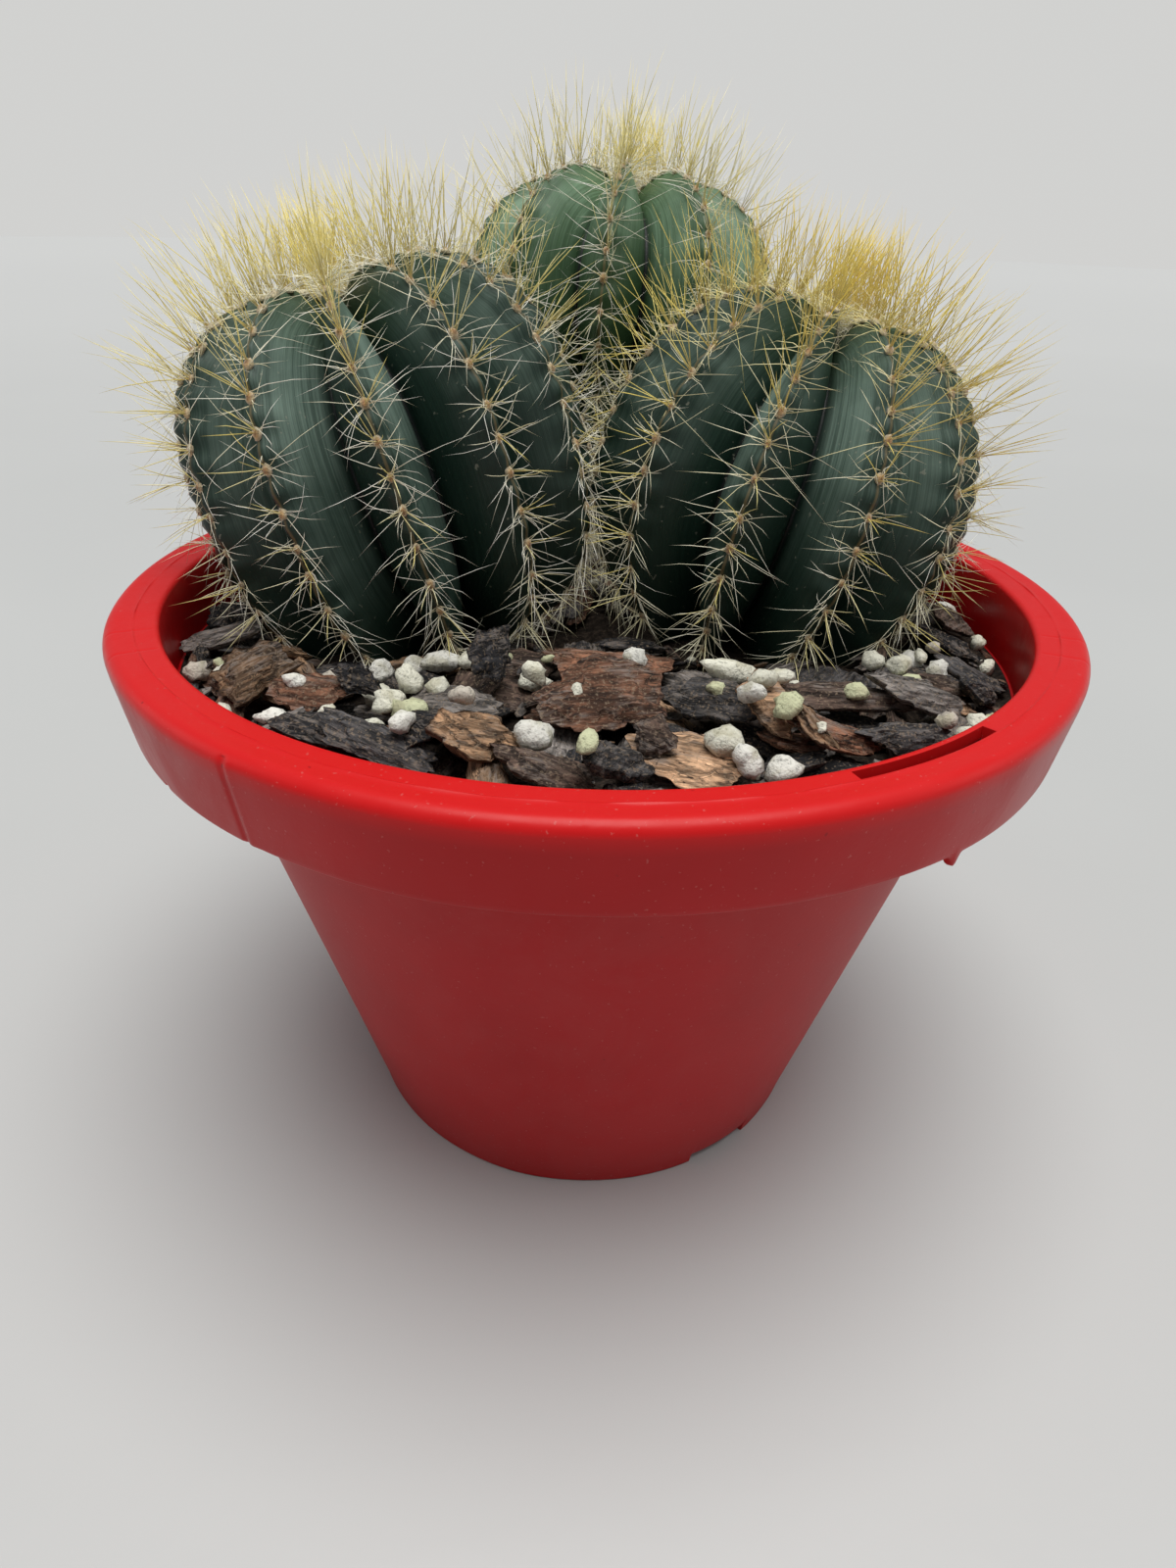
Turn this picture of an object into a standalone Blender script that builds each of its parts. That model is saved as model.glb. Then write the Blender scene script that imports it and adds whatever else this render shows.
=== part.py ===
# Potted round cactus: three ribbed heads with spine coats, in a turned-rim pot of mix, bark and perlite.
# Metres, +Z up. The origin is the centre of the pot's foot, on the surface that it stands on, and -Y is the
# front.

import functools
import math
import random

import bpy
import bmesh
from mathutils import Matrix, Vector

# Pot
POT_HEIGHT = 0.1248
RIM_RADIUS = 0.1000
MOUTH_RADIUS = 0.0896
TUB_TOP_RADIUS = 0.0839
FOOT_RADIUS = 0.05445
SKIRT_DROP = 0.0175
SKIRT_TAPER = 0.0025
PLASTIC = 0.0022
SHOULDER_HEIGHT = 0.1066
FOOT_HEIGHT = 0.0025
FOOT_RING_WIDTH = 0.0080
FOOT_PAD_RADIUS = 0.0180
POT_SIDES = 60

# Openings in the pot, as angles round +Z in degrees from +X
LABEL_SLOT = {"start": -65.0, "end": -46.0, "inner": 0.0913, "outer": 0.0938}
FOOT_NOTCH_MIDDLE = -53.0
FOOT_NOTCH_SPAN = 17.5
FOOT_NOTCHES = 3
FOOT_NOTCH_HEIGHT = 0.0029
DRAIN_SLOTS = 6
DRAIN_SLOT_SPAN = 16.0
DRAIN_SLOT = {"inner": 0.0280, "outer": 0.0350}

# Fill
SOIL_TOP = 0.1115
GAP = 0.0004

# Cactus heads: centre, crest radius, half height, lean towards +X and +Y in degrees, number of ribs, turn of
# the first rib, fullness, the exponent of the crest's outline (1 is an ellipse, less is squarer), and stem,
# how much further than half its height the head tapers down to its root
HEADS = {
    "left": {
        "centre": (-0.0450, 0.0120, 0.1448), "radius": 0.0422, "half_height": 0.0414, "lean": (-17.3, 1.4),
        "ribs": 12, "turn": 222.2, "fullness": 0.76, "stem": 0.0, "colour": (0.035, 0.085, 0.075),
    },
    "right": {
        "centre": (0.0395, 0.0160, 0.1420), "radius": 0.0408, "half_height": 0.0416, "lean": (14.2, 1.1),
        "ribs": 11, "turn": 185.3, "fullness": 0.95, "stem": 0.0, "colour": (0.030, 0.085, 0.065),
    },
    "back": {
        "centre": (0.0036, 0.0800, 0.1730), "radius": 0.0388, "half_height": 0.0305, "lean": (4.5, 14.0),
        "ribs": 10, "turn": 191.3, "fullness": 0.85, "stem": 0.0440, "colour": (0.060, 0.130, 0.070),
    },
}
STEM_LATITUDE = -42.0
RIB_DEPTH = 0.33
RIB_FADE_RADIUS = 0.42
CROWN_DIMPLE = 0.16
DIMPLE_SPREAD = 0.30
RING_COUNT = 17
OUTLINE_STEP = 4
COLUMNS_PER_RIB = 4

# Spine coats
COAT_GAP = 0.0003
COAT_THICKNESS = 0.0007
COAT_WIDTH = 0.0026
COAT_LEAST = 0.00025
COAT_FOOT = 0.1178
SPINE_LENGTH = 0.0150
CROWN_SPINE_LENGTH = 0.0200
SPINE_ROOM_STEP = 0.0005

# Mulch
BARK_CHIPS = 28
CHIP_LENGTH = 0.0240
SHORTEST_CHIP_SHARE = 0.45
CHIP_THICKNESS = (0.0020, 0.0034)
CHIP_TILT = 4.0
RUST_SHARE = 0.35
PERLITE_GRAINS = 14
GRAIN_SIZE = (0.0040, 0.0060)
CHIP_TOP = 0.1170
PIECE_SPACING = 0.0004
SPOT_TRIES = 4000
SEED = 7


def clear_scene():
    for thing in list(bpy.data.objects):
        bpy.data.objects.remove(thing, do_unlink=True)


def material(name, colour, roughness, metallic=0.0):
    made = bpy.data.materials.new(name)
    made.use_nodes = True
    shader = made.node_tree.nodes["Principled BSDF"]
    shader.inputs["Base Color"].default_value = (*colour, 1.0)
    shader.inputs["Roughness"].default_value = roughness
    shader.inputs["Metallic"].default_value = metallic
    return made


def object_from(bm, name, finish=None, smooth_angle=None):
    bmesh.ops.recalc_face_normals(bm, faces=bm.faces)
    mesh = bpy.data.meshes.new(name)
    bm.to_mesh(mesh)
    bm.free()
    if smooth_angle is not None:
        mesh.shade_smooth()
        mesh.set_sharp_from_angle(angle=math.radians(smooth_angle))
    made = bpy.data.objects.new(name, mesh)
    bpy.context.scene.collection.objects.link(made)
    if finish is not None:
        mesh.materials.append(finish)
    return made


def cut(target, cutter, name):
    cutter.hide_render = True
    cutter.display_type = "WIRE"
    boolean = target.modifiers.new(name, "BOOLEAN")
    boolean.operation = "DIFFERENCE"
    boolean.solver = "EXACT"
    boolean.object = cutter


def arc_points(centre, radius, start, end, steps):
    # points (r, z) on a circle's arc, both ends included
    angles = [math.radians(start + (end - start) * i / steps) for i in range(steps + 1)]
    return [(centre[0] + radius * math.cos(a), centre[1] + radius * math.sin(a)) for a in angles]


def turned(profile, sides):
    # A profile of (r, z) points spun once round the Z axis. Its ends lie on the axis.
    bm = bmesh.new()
    verts = [bm.verts.new((r, 0.0, z)) for r, z in profile]
    edges = [bm.edges.new(pair) for pair in zip(verts, verts[1:])]
    bmesh.ops.spin(bm, geom=verts + edges, cent=(0, 0, 0), axis=(0, 0, 1), angle=2 * math.pi,
                   steps=sides, use_merge=True)
    bmesh.ops.remove_doubles(bm, verts=bm.verts, dist=0.00001)
    return bm


def sector_block(name, inner, outer, low, high, start, end, steps=8):
    # A block between two radii, two heights and two angles, as a cutter
    bm = bmesh.new()
    first = [(inner, low), (outer, low), (outer, high), (inner, high)]
    turn = Matrix.Rotation(math.radians(start), 3, "Z")
    verts = [bm.verts.new(turn @ Vector((r, 0.0, z))) for r, z in first]
    face = bm.faces.new(verts)
    bmesh.ops.spin(bm, geom=[face, *face.edges, *verts], cent=(0, 0, 0), axis=(0, 0, 1),
                   angle=math.radians(end - start), steps=steps, use_duplicate=False)
    return object_from(bm, name)


def pot_profile():
    rim_edge = 0.0022
    mouth_edge = 0.0011
    skirt_foot = POT_HEIGHT - SKIRT_DROP
    foot_inner = FOOT_RADIUS - FOOT_RING_WIDTH
    slope = (TUB_TOP_RADIUS - FOOT_RADIUS) / skirt_foot
    upper_wall = MOUTH_RADIUS + 0.0014
    outside = [
        (0.0, 0.0),
        (FOOT_PAD_RADIUS, 0.0),
        (FOOT_PAD_RADIUS + 0.0008, FOOT_HEIGHT),
        (foot_inner - 0.0008, FOOT_HEIGHT),
        (foot_inner, 0.0),
        (FOOT_RADIUS - 0.0007, 0.0),
        (FOOT_RADIUS, 0.0008),
        (FOOT_RADIUS + slope * SHOULDER_HEIGHT * 0.5, SHOULDER_HEIGHT * 0.5),
        (FOOT_RADIUS + slope * SHOULDER_HEIGHT, SHOULDER_HEIGHT),
        (upper_wall - 0.0006, SHOULDER_HEIGHT + 0.0024),
        (upper_wall, POT_HEIGHT - PLASTIC),
    ]
    skirt = [
        (RIM_RADIUS - PLASTIC - 0.0008, POT_HEIGHT - PLASTIC),
        (RIM_RADIUS - SKIRT_TAPER - PLASTIC, skirt_foot),
        (RIM_RADIUS - SKIRT_TAPER, skirt_foot),
    ]
    edge = arc_points((RIM_RADIUS - rim_edge, POT_HEIGHT - rim_edge), rim_edge, 0, 90, 4)
    mouth = arc_points((MOUTH_RADIUS + mouth_edge, POT_HEIGHT - mouth_edge), mouth_edge, 90, 180, 2)
    floor_top = FOOT_HEIGHT + PLASTIC
    inside = [
        (MOUTH_RADIUS - 0.0008, SHOULDER_HEIGHT + 0.0040),
        (FOOT_RADIUS + slope * SHOULDER_HEIGHT - 0.0019, SHOULDER_HEIGHT + 0.0012),
        (FOOT_RADIUS - PLASTIC + 0.0012, floor_top + 0.0030),
        (FOOT_RADIUS - PLASTIC - 0.0020, floor_top),
        (0.0, floor_top),
    ]
    return outside + skirt + edge + mouth + inside


def make_pot(finish):
    pot = object_from(turned(pot_profile(), POT_SIDES), "pot", finish, smooth_angle=35)
    slot = sector_block("label_slot_cutter", LABEL_SLOT["inner"], LABEL_SLOT["outer"],
                        POT_HEIGHT - 2 * PLASTIC, POT_HEIGHT + PLASTIC,
                        LABEL_SLOT["start"], LABEL_SLOT["end"])
    cut(pot, slot, "label_slot")
    for i in range(FOOT_NOTCHES):
        middle = FOOT_NOTCH_MIDDLE + 360.0 * i / FOOT_NOTCHES
        notch = sector_block(f"foot_notch_cutter_{i + 1}",
                             FOOT_RADIUS - 1.4 * FOOT_RING_WIDTH, FOOT_RADIUS * 1.1,
                             -FOOT_NOTCH_HEIGHT, FOOT_NOTCH_HEIGHT,
                             middle - FOOT_NOTCH_SPAN / 2, middle + FOOT_NOTCH_SPAN / 2, steps=4)
        cut(pot, notch, f"foot_notch_{i + 1}")
    for i in range(DRAIN_SLOTS):
        middle = 360.0 * i / DRAIN_SLOTS
        drain = sector_block(f"drain_slot_cutter_{i + 1}", DRAIN_SLOT["inner"], DRAIN_SLOT["outer"],
                             -PLASTIC, FOOT_HEIGHT + 2 * PLASTIC,
                             middle - DRAIN_SLOT_SPAN / 2, middle + DRAIN_SLOT_SPAN / 2, steps=4)
        cut(pot, drain, f"drain_slot_{i + 1}")
    return pot


def head_axes(head):
    # local x, y and z directions of a leaning head
    lean_x, lean_y = (math.tan(math.radians(a)) for a in head["lean"])
    up = Vector((lean_x, lean_y, 1.0)).normalized()
    across = (Vector((1, 0, 0)) - up * up.x).normalized()
    return across, up.cross(across), up


def crest_outline(head, latitude, grow=0.0):
    # radius and height of the rib crest at a latitude: a full ellipse, sunk at the crown
    power = head["fullness"]
    wide = head["radius"] + grow
    tall = head["half_height"] + grow
    r = wide * max(math.cos(latitude), 0.0) ** power
    h = math.copysign(tall * abs(math.sin(latitude)) ** power, latitude)
    below = (math.radians(STEM_LATITUDE) - latitude) / math.radians(90 + STEM_LATITUDE)
    if below > 0:
        h -= head["stem"] * below * below * (3 - 2 * below)
    sink = CROWN_DIMPLE * tall * math.exp(-((r / (DIMPLE_SPREAD * wide)) ** 2)) if latitude > 0 else 0.0
    return r, h - sink


def head_point(head, latitude, rib_turn, grow=0.0, depth=RIB_DEPTH):
    # rib_turn counts ribs: whole numbers are crests, halves are grooves. Flanks are nearly flat.
    r, h = crest_outline(head, latitude, grow)
    from_crest = abs(rib_turn - round(rib_turn)) * 2
    fade = min(r / (RIB_FADE_RADIUS * head["radius"]), 1.0)
    shrink = 1 - depth * fade * fade * (3 - 2 * fade) * from_crest ** 0.85
    across, ahead, up = head_axes(head)
    angle = math.radians(head["turn"]) + rib_turn * 2 * math.pi / head["ribs"]
    flat = across * math.cos(angle) + ahead * math.sin(angle)
    return Vector(head["centre"]) + flat * (r * shrink) + up * (h * shrink)


def ring_latitudes():
    return [math.radians(-90 + 180 * (i + 1) / (RING_COUNT + 1)) for i in range(RING_COUNT)]


def head_body(head, name, finish=None, grow=0.0, depth=RIB_DEPTH):
    bm = bmesh.new()
    columns = head["ribs"] * COLUMNS_PER_RIB
    rings = []
    for latitude in ring_latitudes():
        rings.append([bm.verts.new(head_point(head, latitude, c / COLUMNS_PER_RIB, grow, depth))
                      for c in range(columns)])
    bottom = bm.verts.new(head_point(head, -math.pi / 2, 0, grow, depth))
    top = bm.verts.new(head_point(head, math.pi / 2, 0, grow, depth))
    for c in range(columns):
        n = (c + 1) % columns
        bm.faces.new((bottom, rings[0][n], rings[0][c]))
        bm.faces.new((top, rings[-1][c], rings[-1][n]))
        for low, high in zip(rings, rings[1:]):
            bm.faces.new((low[c], low[n], high[n], high[c]))
    return object_from(bm, name, finish, smooth_angle=50)


@functools.cache
def outline_samples(name):
    # points along a head's crest outline, as (radius, height), from the root up to the crown
    head = HEADS[name]
    return [crest_outline(head, math.radians(latitude)) for latitude in range(-90, 91, OUTLINE_STEP)]


def distance_outside(name, point):
    # how far a point lies outside the round envelope of a head's crests; negative inside
    head = HEADS[name]
    across, ahead, up = head_axes(head)
    away = point - Vector(head["centre"])
    r = math.hypot(away.dot(across), away.dot(ahead))
    h = away.dot(up)
    near_r, near_h = min(outline_samples(name), key=lambda s: (s[0] - r) ** 2 + (s[1] - h) ** 2)
    gap = math.hypot(near_r - r, near_h - h)
    return gap if (r - near_r) * near_r + (h - near_h) * near_h > 0 else -gap


def room_along(name, start, direction, longest):
    # A spine ends half way to the next head, above the mulch and inside the mouth of the pot.
    others = [other for other in HEADS if other != name]
    reached = 0.0
    while reached < longest:
        point = start + direction * (reached + SPINE_ROOM_STEP)
        free = distance_outside(name, point) + SPINE_ROOM_STEP
        in_pot = point.z < POT_HEIGHT + 0.0015 and math.hypot(point.x, point.y) > MOUTH_RADIUS - 0.0030
        crowded = any(distance_outside(other, point) < free for other in others)
        if crowded or in_pot or point.z < CHIP_TOP + 0.0008:
            break
        reached += SPINE_ROOM_STEP
    return reached


def rung_points(name, head, latitude, rib):
    across, ahead, up = head_axes(head)
    angle = math.radians(head["turn"]) + rib * 2 * math.pi / head["ribs"]
    side = ahead * math.cos(angle) - across * math.sin(angle)
    crest = head_point(head, latitude, rib)
    step = math.radians(1.0)
    along = (head_point(head, latitude + step, rib) - head_point(head, latitude - step, rib)).normalized()
    out = side.cross(along).normalized()
    room = room_along(name, crest + out * COAT_GAP, out, COAT_THICKNESS + 0.0004)
    thick = max(min(COAT_THICKNESS, room - 0.0002), COAT_LEAST)
    low, high = crest + out * COAT_GAP, crest + out * (COAT_GAP + thick)
    half = side * (COAT_WIDTH / 2)
    return low - half, low + half, high - half, high + half


def make_coat(name, finish):
    # One strip down every crest, all joined at the crown; each cell of a strip is drawn out to a spine point.
    head = HEADS[name]
    bm = bmesh.new()
    hub = []
    cells = []
    for rib in range(head["ribs"]):
        rungs = []
        for latitude in reversed(ring_latitudes()):
            points = rung_points(name, head, latitude, rib)
            if min(p.z for p in points) < COAT_FOOT or distance_to_mouth(points) < 0:
                break
            rungs.append([bm.verts.new(p) for p in points])
        hub.append(rungs[0])
        for upper, lower in zip(rungs, rungs[1:]):
            bm.faces.new((upper[0], upper[1], lower[1], lower[0]))
            cells.append(bm.faces.new((upper[2], lower[2], lower[3], upper[3])))
            bm.faces.new((upper[0], lower[0], lower[2], upper[2]))
            bm.faces.new((upper[1], upper[3], lower[3], lower[1]))
        last = rungs[-1]
        bm.faces.new((last[0], last[1], last[3], last[2]))
    for rungs, following in zip(hub, hub[1:] + hub[:1]):
        bm.faces.new((rungs[1], following[0], following[2], rungs[3]))
    bm.faces.new([v for rung in hub for v in (rung[0], rung[1])])
    crown = bm.faces.new([v for rung in hub for v in (rung[2], rung[3])])
    bmesh.ops.recalc_face_normals(bm, faces=bm.faces)
    draw_out_spines(bm, name, head, cells, crown)
    return object_from(bm, f"spines_{name}", finish)


def distance_to_mouth(points):
    # room between a rung and the inside of the pot, where the rung is lower than the rim
    inside = [MOUTH_RADIUS - 0.0025 - math.hypot(p.x, p.y) for p in points if p.z < POT_HEIGHT + 0.0010]
    return min(inside, default=1.0)


def draw_out_spines(bm, name, head, cells, crown):
    across, ahead, up = head_axes(head)
    root = Vector(head["centre"]) - up * (0.35 * head["half_height"])
    for cell in cells + [crown]:
        middle = cell.calc_center_median()
        direction = (middle - root).normalized()
        longest = CROWN_SPINE_LENGTH if cell is crown else SPINE_LENGTH
        length = room_along(name, middle, direction, longest)
        poked = bmesh.ops.poke(bm, faces=[cell])
        poked["verts"][0].co = middle + direction * max(length - SPINE_ROOM_STEP, 0.0002)


def make_soil(finish, cutters):
    slope = (TUB_TOP_RADIUS - FOOT_RADIUS) / (POT_HEIGHT - SKIRT_DROP)
    floor_top = FOOT_HEIGHT + PLASTIC + GAP
    profile = [
        (0.0, floor_top),
        (FOOT_RADIUS - PLASTIC - 0.0026, floor_top),
        (FOOT_RADIUS - PLASTIC + 0.0006, floor_top + 0.0032),
        (FOOT_RADIUS + slope * SHOULDER_HEIGHT - 0.0026, SHOULDER_HEIGHT + 0.0014),
        (MOUTH_RADIUS - 0.0014, SHOULDER_HEIGHT + 0.0044),
        (MOUTH_RADIUS - 0.0014, SOIL_TOP - 0.0002),
        (MOUTH_RADIUS - 0.0018, SOIL_TOP),
        (0.0, SOIL_TOP),
    ]
    soil = object_from(turned(profile, POT_SIDES), "soil", finish, smooth_angle=35)
    for cutter in cutters:
        cut(soil, cutter, cutter.name)
    return soil


def chip_mesh(rng, length, width, thickness):
    # A broken plate: an irregular outline drawn upwards, with its top edge pulled in
    bm = bmesh.new()
    corners = rng.randint(6, 8)
    outline = []
    for i in range(corners):
        angle = 2 * math.pi * (i + rng.uniform(-0.28, 0.28)) / corners
        reach = rng.uniform(0.72, 1.0)
        x = length / 2 * reach * math.cos(angle)
        y = width / 2 * reach * math.sin(angle)
        outline.append(bm.verts.new((x, y, 0)))
    base = bm.faces.new(outline)
    drawn = bmesh.ops.extrude_face_region(bm, geom=[base])
    top = [v for v in drawn["geom"] if isinstance(v, bmesh.types.BMVert)]
    for v in top:
        v.co.x *= 0.9
        v.co.y *= 0.9
        v.co.z += thickness * rng.uniform(0.75, 1.0)
    bmesh.ops.triangulate(bm, faces=bm.faces)
    return bm


def grain_mesh(rng, size):
    # A rough rounded grain
    bm = bmesh.new()
    bmesh.ops.create_icosphere(bm, subdivisions=2, radius=size / 2)
    for v in bm.verts:
        v.co *= rng.uniform(0.86, 1.0)
    return bm


def clear_spot(rng, reach, top, taken):
    # A place on the mulch for a round footprint, clear of heads, wall and earlier pieces
    for attempt in range(SPOT_TRIES):
        angle = rng.uniform(0, 2 * math.pi)
        r = (MOUTH_RADIUS - 0.0022 - reach) * math.sqrt(rng.uniform(0.05, 1.0))
        spot = Vector((r * math.cos(angle), r * math.sin(angle), top))
        crowded = any(distance_outside(name, spot) < reach + 0.0010 for name in HEADS)
        apart = reach + PIECE_SPACING
        if not crowded and all((spot.xy - other).length > apart + room for other, room in taken):
            taken.append((spot.xy, reach))
            return spot.xy
    return None


def make_mulch(bark, bark_light, stone):
    rng = random.Random(SEED)
    taken = []
    made = 0
    for i in range(BARK_CHIPS):
        length = CHIP_LENGTH * (1 - (1 - SHORTEST_CHIP_SHARE) * i / BARK_CHIPS) * rng.uniform(0.9, 1.1)
        width = length * rng.uniform(0.6, 0.85)
        thickness = rng.uniform(*CHIP_THICKNESS)
        tilt = math.radians(rng.uniform(0.0, CHIP_TILT))
        spot = clear_spot(rng, length / 2, CHIP_TOP, taken)
        bm = chip_mesh(rng, length, width, thickness)
        if spot is None:
            bm.free()
            continue
        made += 1
        chip = object_from(bm, f"bark_chip_{made:02d}", bark_light if rng.random() < RUST_SHARE else bark)
        chip.location = (spot.x, spot.y, SOIL_TOP + GAP + length / 2 * math.sin(tilt))
        chip.rotation_euler = (tilt, 0.0, rng.uniform(0, 2 * math.pi))
        chip.rotation_mode = "ZYX"
    made = 0
    for i in range(PERLITE_GRAINS):
        size = rng.uniform(*GRAIN_SIZE)
        spot = clear_spot(rng, size / 2, CHIP_TOP, taken)
        bm = grain_mesh(rng, size)
        if spot is None:
            bm.free()
            continue
        made += 1
        grain = object_from(bm, f"perlite_{made:02d}", stone, smooth_angle=80)
        grain.location = (spot.x, spot.y, SOIL_TOP + GAP + size / 2)


def main():
    clear_scene()
    make_pot(material("pot_red", (0.62, 0.012, 0.016), 0.38))
    spine_finish = material("spine_straw", (0.72, 0.58, 0.22), 0.5)
    sockets = []
    for name, head in HEADS.items():
        head_body(head, f"cactus_{name}", material(f"skin_{name}", head["colour"], 0.45))
        make_coat(name, spine_finish)
        sockets.append(head_body(head, f"socket_{name}", grow=GAP, depth=0.0))
    make_soil(material("potting_mix", (0.035, 0.024, 0.018), 0.95), sockets)
    bark = material("bark_dark", (0.055, 0.040, 0.035), 0.9)
    bark_light = material("bark_rust", (0.16, 0.075, 0.045), 0.9)
    make_mulch(bark, bark_light, material("perlite_white", (0.80, 0.78, 0.68), 0.9))


main()
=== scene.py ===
import bpy
import numpy as np
from mathutils import Matrix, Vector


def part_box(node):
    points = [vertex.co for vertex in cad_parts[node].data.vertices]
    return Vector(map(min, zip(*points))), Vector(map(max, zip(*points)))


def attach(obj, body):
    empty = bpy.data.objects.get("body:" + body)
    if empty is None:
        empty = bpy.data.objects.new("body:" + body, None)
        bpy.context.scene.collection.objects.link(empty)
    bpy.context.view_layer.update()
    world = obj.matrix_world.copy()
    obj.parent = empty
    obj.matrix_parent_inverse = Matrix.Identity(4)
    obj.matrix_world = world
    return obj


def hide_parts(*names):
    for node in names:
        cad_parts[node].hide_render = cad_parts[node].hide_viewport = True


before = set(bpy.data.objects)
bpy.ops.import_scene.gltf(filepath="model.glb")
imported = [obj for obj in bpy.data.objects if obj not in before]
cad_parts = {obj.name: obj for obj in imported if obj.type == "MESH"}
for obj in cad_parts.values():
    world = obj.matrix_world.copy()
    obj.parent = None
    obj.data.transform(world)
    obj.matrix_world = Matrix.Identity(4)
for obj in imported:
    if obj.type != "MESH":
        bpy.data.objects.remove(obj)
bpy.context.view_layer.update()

# Potted round cactus. Shapes are worked out in millimetres and put into meshes in metres; -Y is the front.
mm = 0.001
rng = np.random.default_rng(41)


def cadBoxOf(node):
    # lowest and highest corner of a frame node, in millimetres
    return [np.array(corner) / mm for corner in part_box(node)]


potHigh = cadBoxOf("pot")[1]
soilHigh = cadBoxOf("soil")[1]
print("frame loaded:", len(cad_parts), "nodes")


# ---- mesh and maths helpers

def unit(v):
    return v / np.maximum(np.linalg.norm(v, axis=-1, keepdims=True), 1e-9)


def smoothStep(x):
    # rises from 0 to 1 with flat ends: 3x^2 - 2x^3, with x held between 0 and 1
    x = np.clip(x, 0, 1)
    return x * x * (3 - 2 * x)


def bump(x, middle, width):
    # a bell: exp(-((x - middle) / width)^2)
    return np.exp(-((x - middle) / width) ** 2)


def lumps(points, size, seed, waves=7):
    # Smooth random field from -1 to 1: the mean of sines along random directions, about one lump per size
    own = np.random.default_rng(seed)
    ways = unit(own.normal(size=(waves, 3))) * own.uniform(0.7, 1.5, (waves, 1)) * 2 * np.pi / size
    return np.sin(points @ ways.T + own.uniform(0, 2 * np.pi, waves)).sum(-1) / waves ** 0.5 / 1.4


def gridQuads(rows, cols, wrap=True):
    # Quads between neighbouring rows and columns of a grid; with wrap the last column meets the first
    r, c = np.meshgrid(np.arange(rows - 1), np.arange(cols if wrap else cols - 1), indexing="ij")
    n = (c + 1) % cols
    return np.stack([r * cols + c, r * cols + n, (r + 1) * cols + n, (r + 1) * cols + c], -1).reshape(-1, 4)


def fanTriangles(centre, ring, flip=False):
    # Triangles from one middle point to a closed ring of points
    around = np.roll(ring, -1)
    tris = np.stack([np.full(len(ring), centre), ring, around], -1)
    return tris[:, ::-1] if flip else tris


def copies(faces, count, stride):
    # The faces of one shape repeated for count shapes that follow each other in the point list
    return (faces[None] + (np.arange(count) * stride)[:, None, None]).reshape(-1, faces.shape[1])


def closedRings(rings, around, count):
    # Faces of count shapes, each a stack of rings closed at the top and the bottom by its last two points
    stride = rings * around + 2
    first = np.arange(around)
    last = first + (rings - 1) * around
    caps = np.concatenate([fanTriangles(stride - 2, last), fanTriangles(stride - 1, first, True)])
    return [copies(gridQuads(rings, around), count, stride), copies(caps, count, stride)]


def makePiece(name, points, faceSets, finish, uv=None, tint=None, place=None):
    # Puts arrays into a mesh: points in millimetres, quads and triangles, and for each point a UV, a colour
    # and a place in its own small shape
    mesh = bpy.data.meshes.new(name)
    corners = np.concatenate([f.ravel() for f in faceSets]).astype(np.int32)
    sizes = np.concatenate([np.full(len(f), f.shape[1]) for f in faceSets])
    mesh.vertices.add(len(points))
    mesh.vertices.foreach_set("co", (points * mm).astype(np.float32).ravel())
    mesh.loops.add(len(corners))
    mesh.loops.foreach_set("vertex_index", corners)
    mesh.polygons.add(len(sizes))
    mesh.polygons.foreach_set("loop_start", np.concatenate([[0], np.cumsum(sizes)[:-1]]).astype(np.int32))
    mesh.polygons.foreach_set("use_smooth", np.ones(len(sizes), bool))
    mesh.update(calc_edges=True)
    if uv is not None:
        layer = mesh.uv_layers.new(name="UVMap")
        layer.data.foreach_set("uv", uv[corners].astype(np.float32).ravel())
    if tint is not None:
        layer = mesh.color_attributes.new("tint", "FLOAT_COLOR", "POINT")
        rgba = np.concatenate([tint, np.ones((len(tint), 1))], 1)
        layer.data.foreach_set("color", rgba.astype(np.float32).ravel())
    if place is not None:
        layer = mesh.attributes.new("place", "FLOAT_VECTOR", "POINT")
        layer.data.foreach_set("vector", place.astype(np.float32).ravel())
    mesh.materials.append(finish)
    made = bpy.data.objects.new(name, mesh)
    bpy.context.scene.collection.objects.link(made)
    return made


def settle(made, slot, *nodes):
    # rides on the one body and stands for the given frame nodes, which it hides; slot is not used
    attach(made, "root")
    if nodes:
        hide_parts(*nodes)
    print("made", made.name, len(made.data.polygons), "faces")


# ---- material helpers

def newMaterial(name, roughness=0.5, **sockets):
    # a shader with uniform values on its own sockets
    made = bpy.data.materials.new(name)
    made.use_nodes = True
    shader = made.node_tree.nodes["Principled BSDF"]
    shader.inputs["Roughness"].default_value = roughness
    for socket, value in sockets.items():
        shader.inputs[socket.replace("_", " ")].default_value = value
    return made, made.node_tree, shader


def add(tree, kind, inputs, **settings):
    # A node whose inputs are numbers, colours or other nodes' outputs
    made = tree.nodes.new("ShaderNode" + kind)
    for key, value in settings.items():
        setattr(made, key, value)
    for key, value in inputs.items():
        if isinstance(value, bpy.types.NodeSocket):
            tree.links.new(value, made.inputs[key])
        else:
            made.inputs[key].default_value = value
    return made


def coords(tree, kind="Object", stretch=(1, 1, 1)):
    # Where a point lies: in its object, on the UV map, or in its own small shape when the kind is place
    if kind == "place":
        source = add(tree, "Attribute", {}, attribute_name="place").outputs["Vector"]
    else:
        source = tree.nodes.new("ShaderNodeTexCoord").outputs[kind]
    return add(tree, "Mapping", {"Vector": source, "Scale": stretch}).outputs["Vector"]


def split(tree, vector):
    # the X, Y and Z outputs of a vector
    return add(tree, "SeparateXYZ", {"Vector": vector}).outputs


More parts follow.
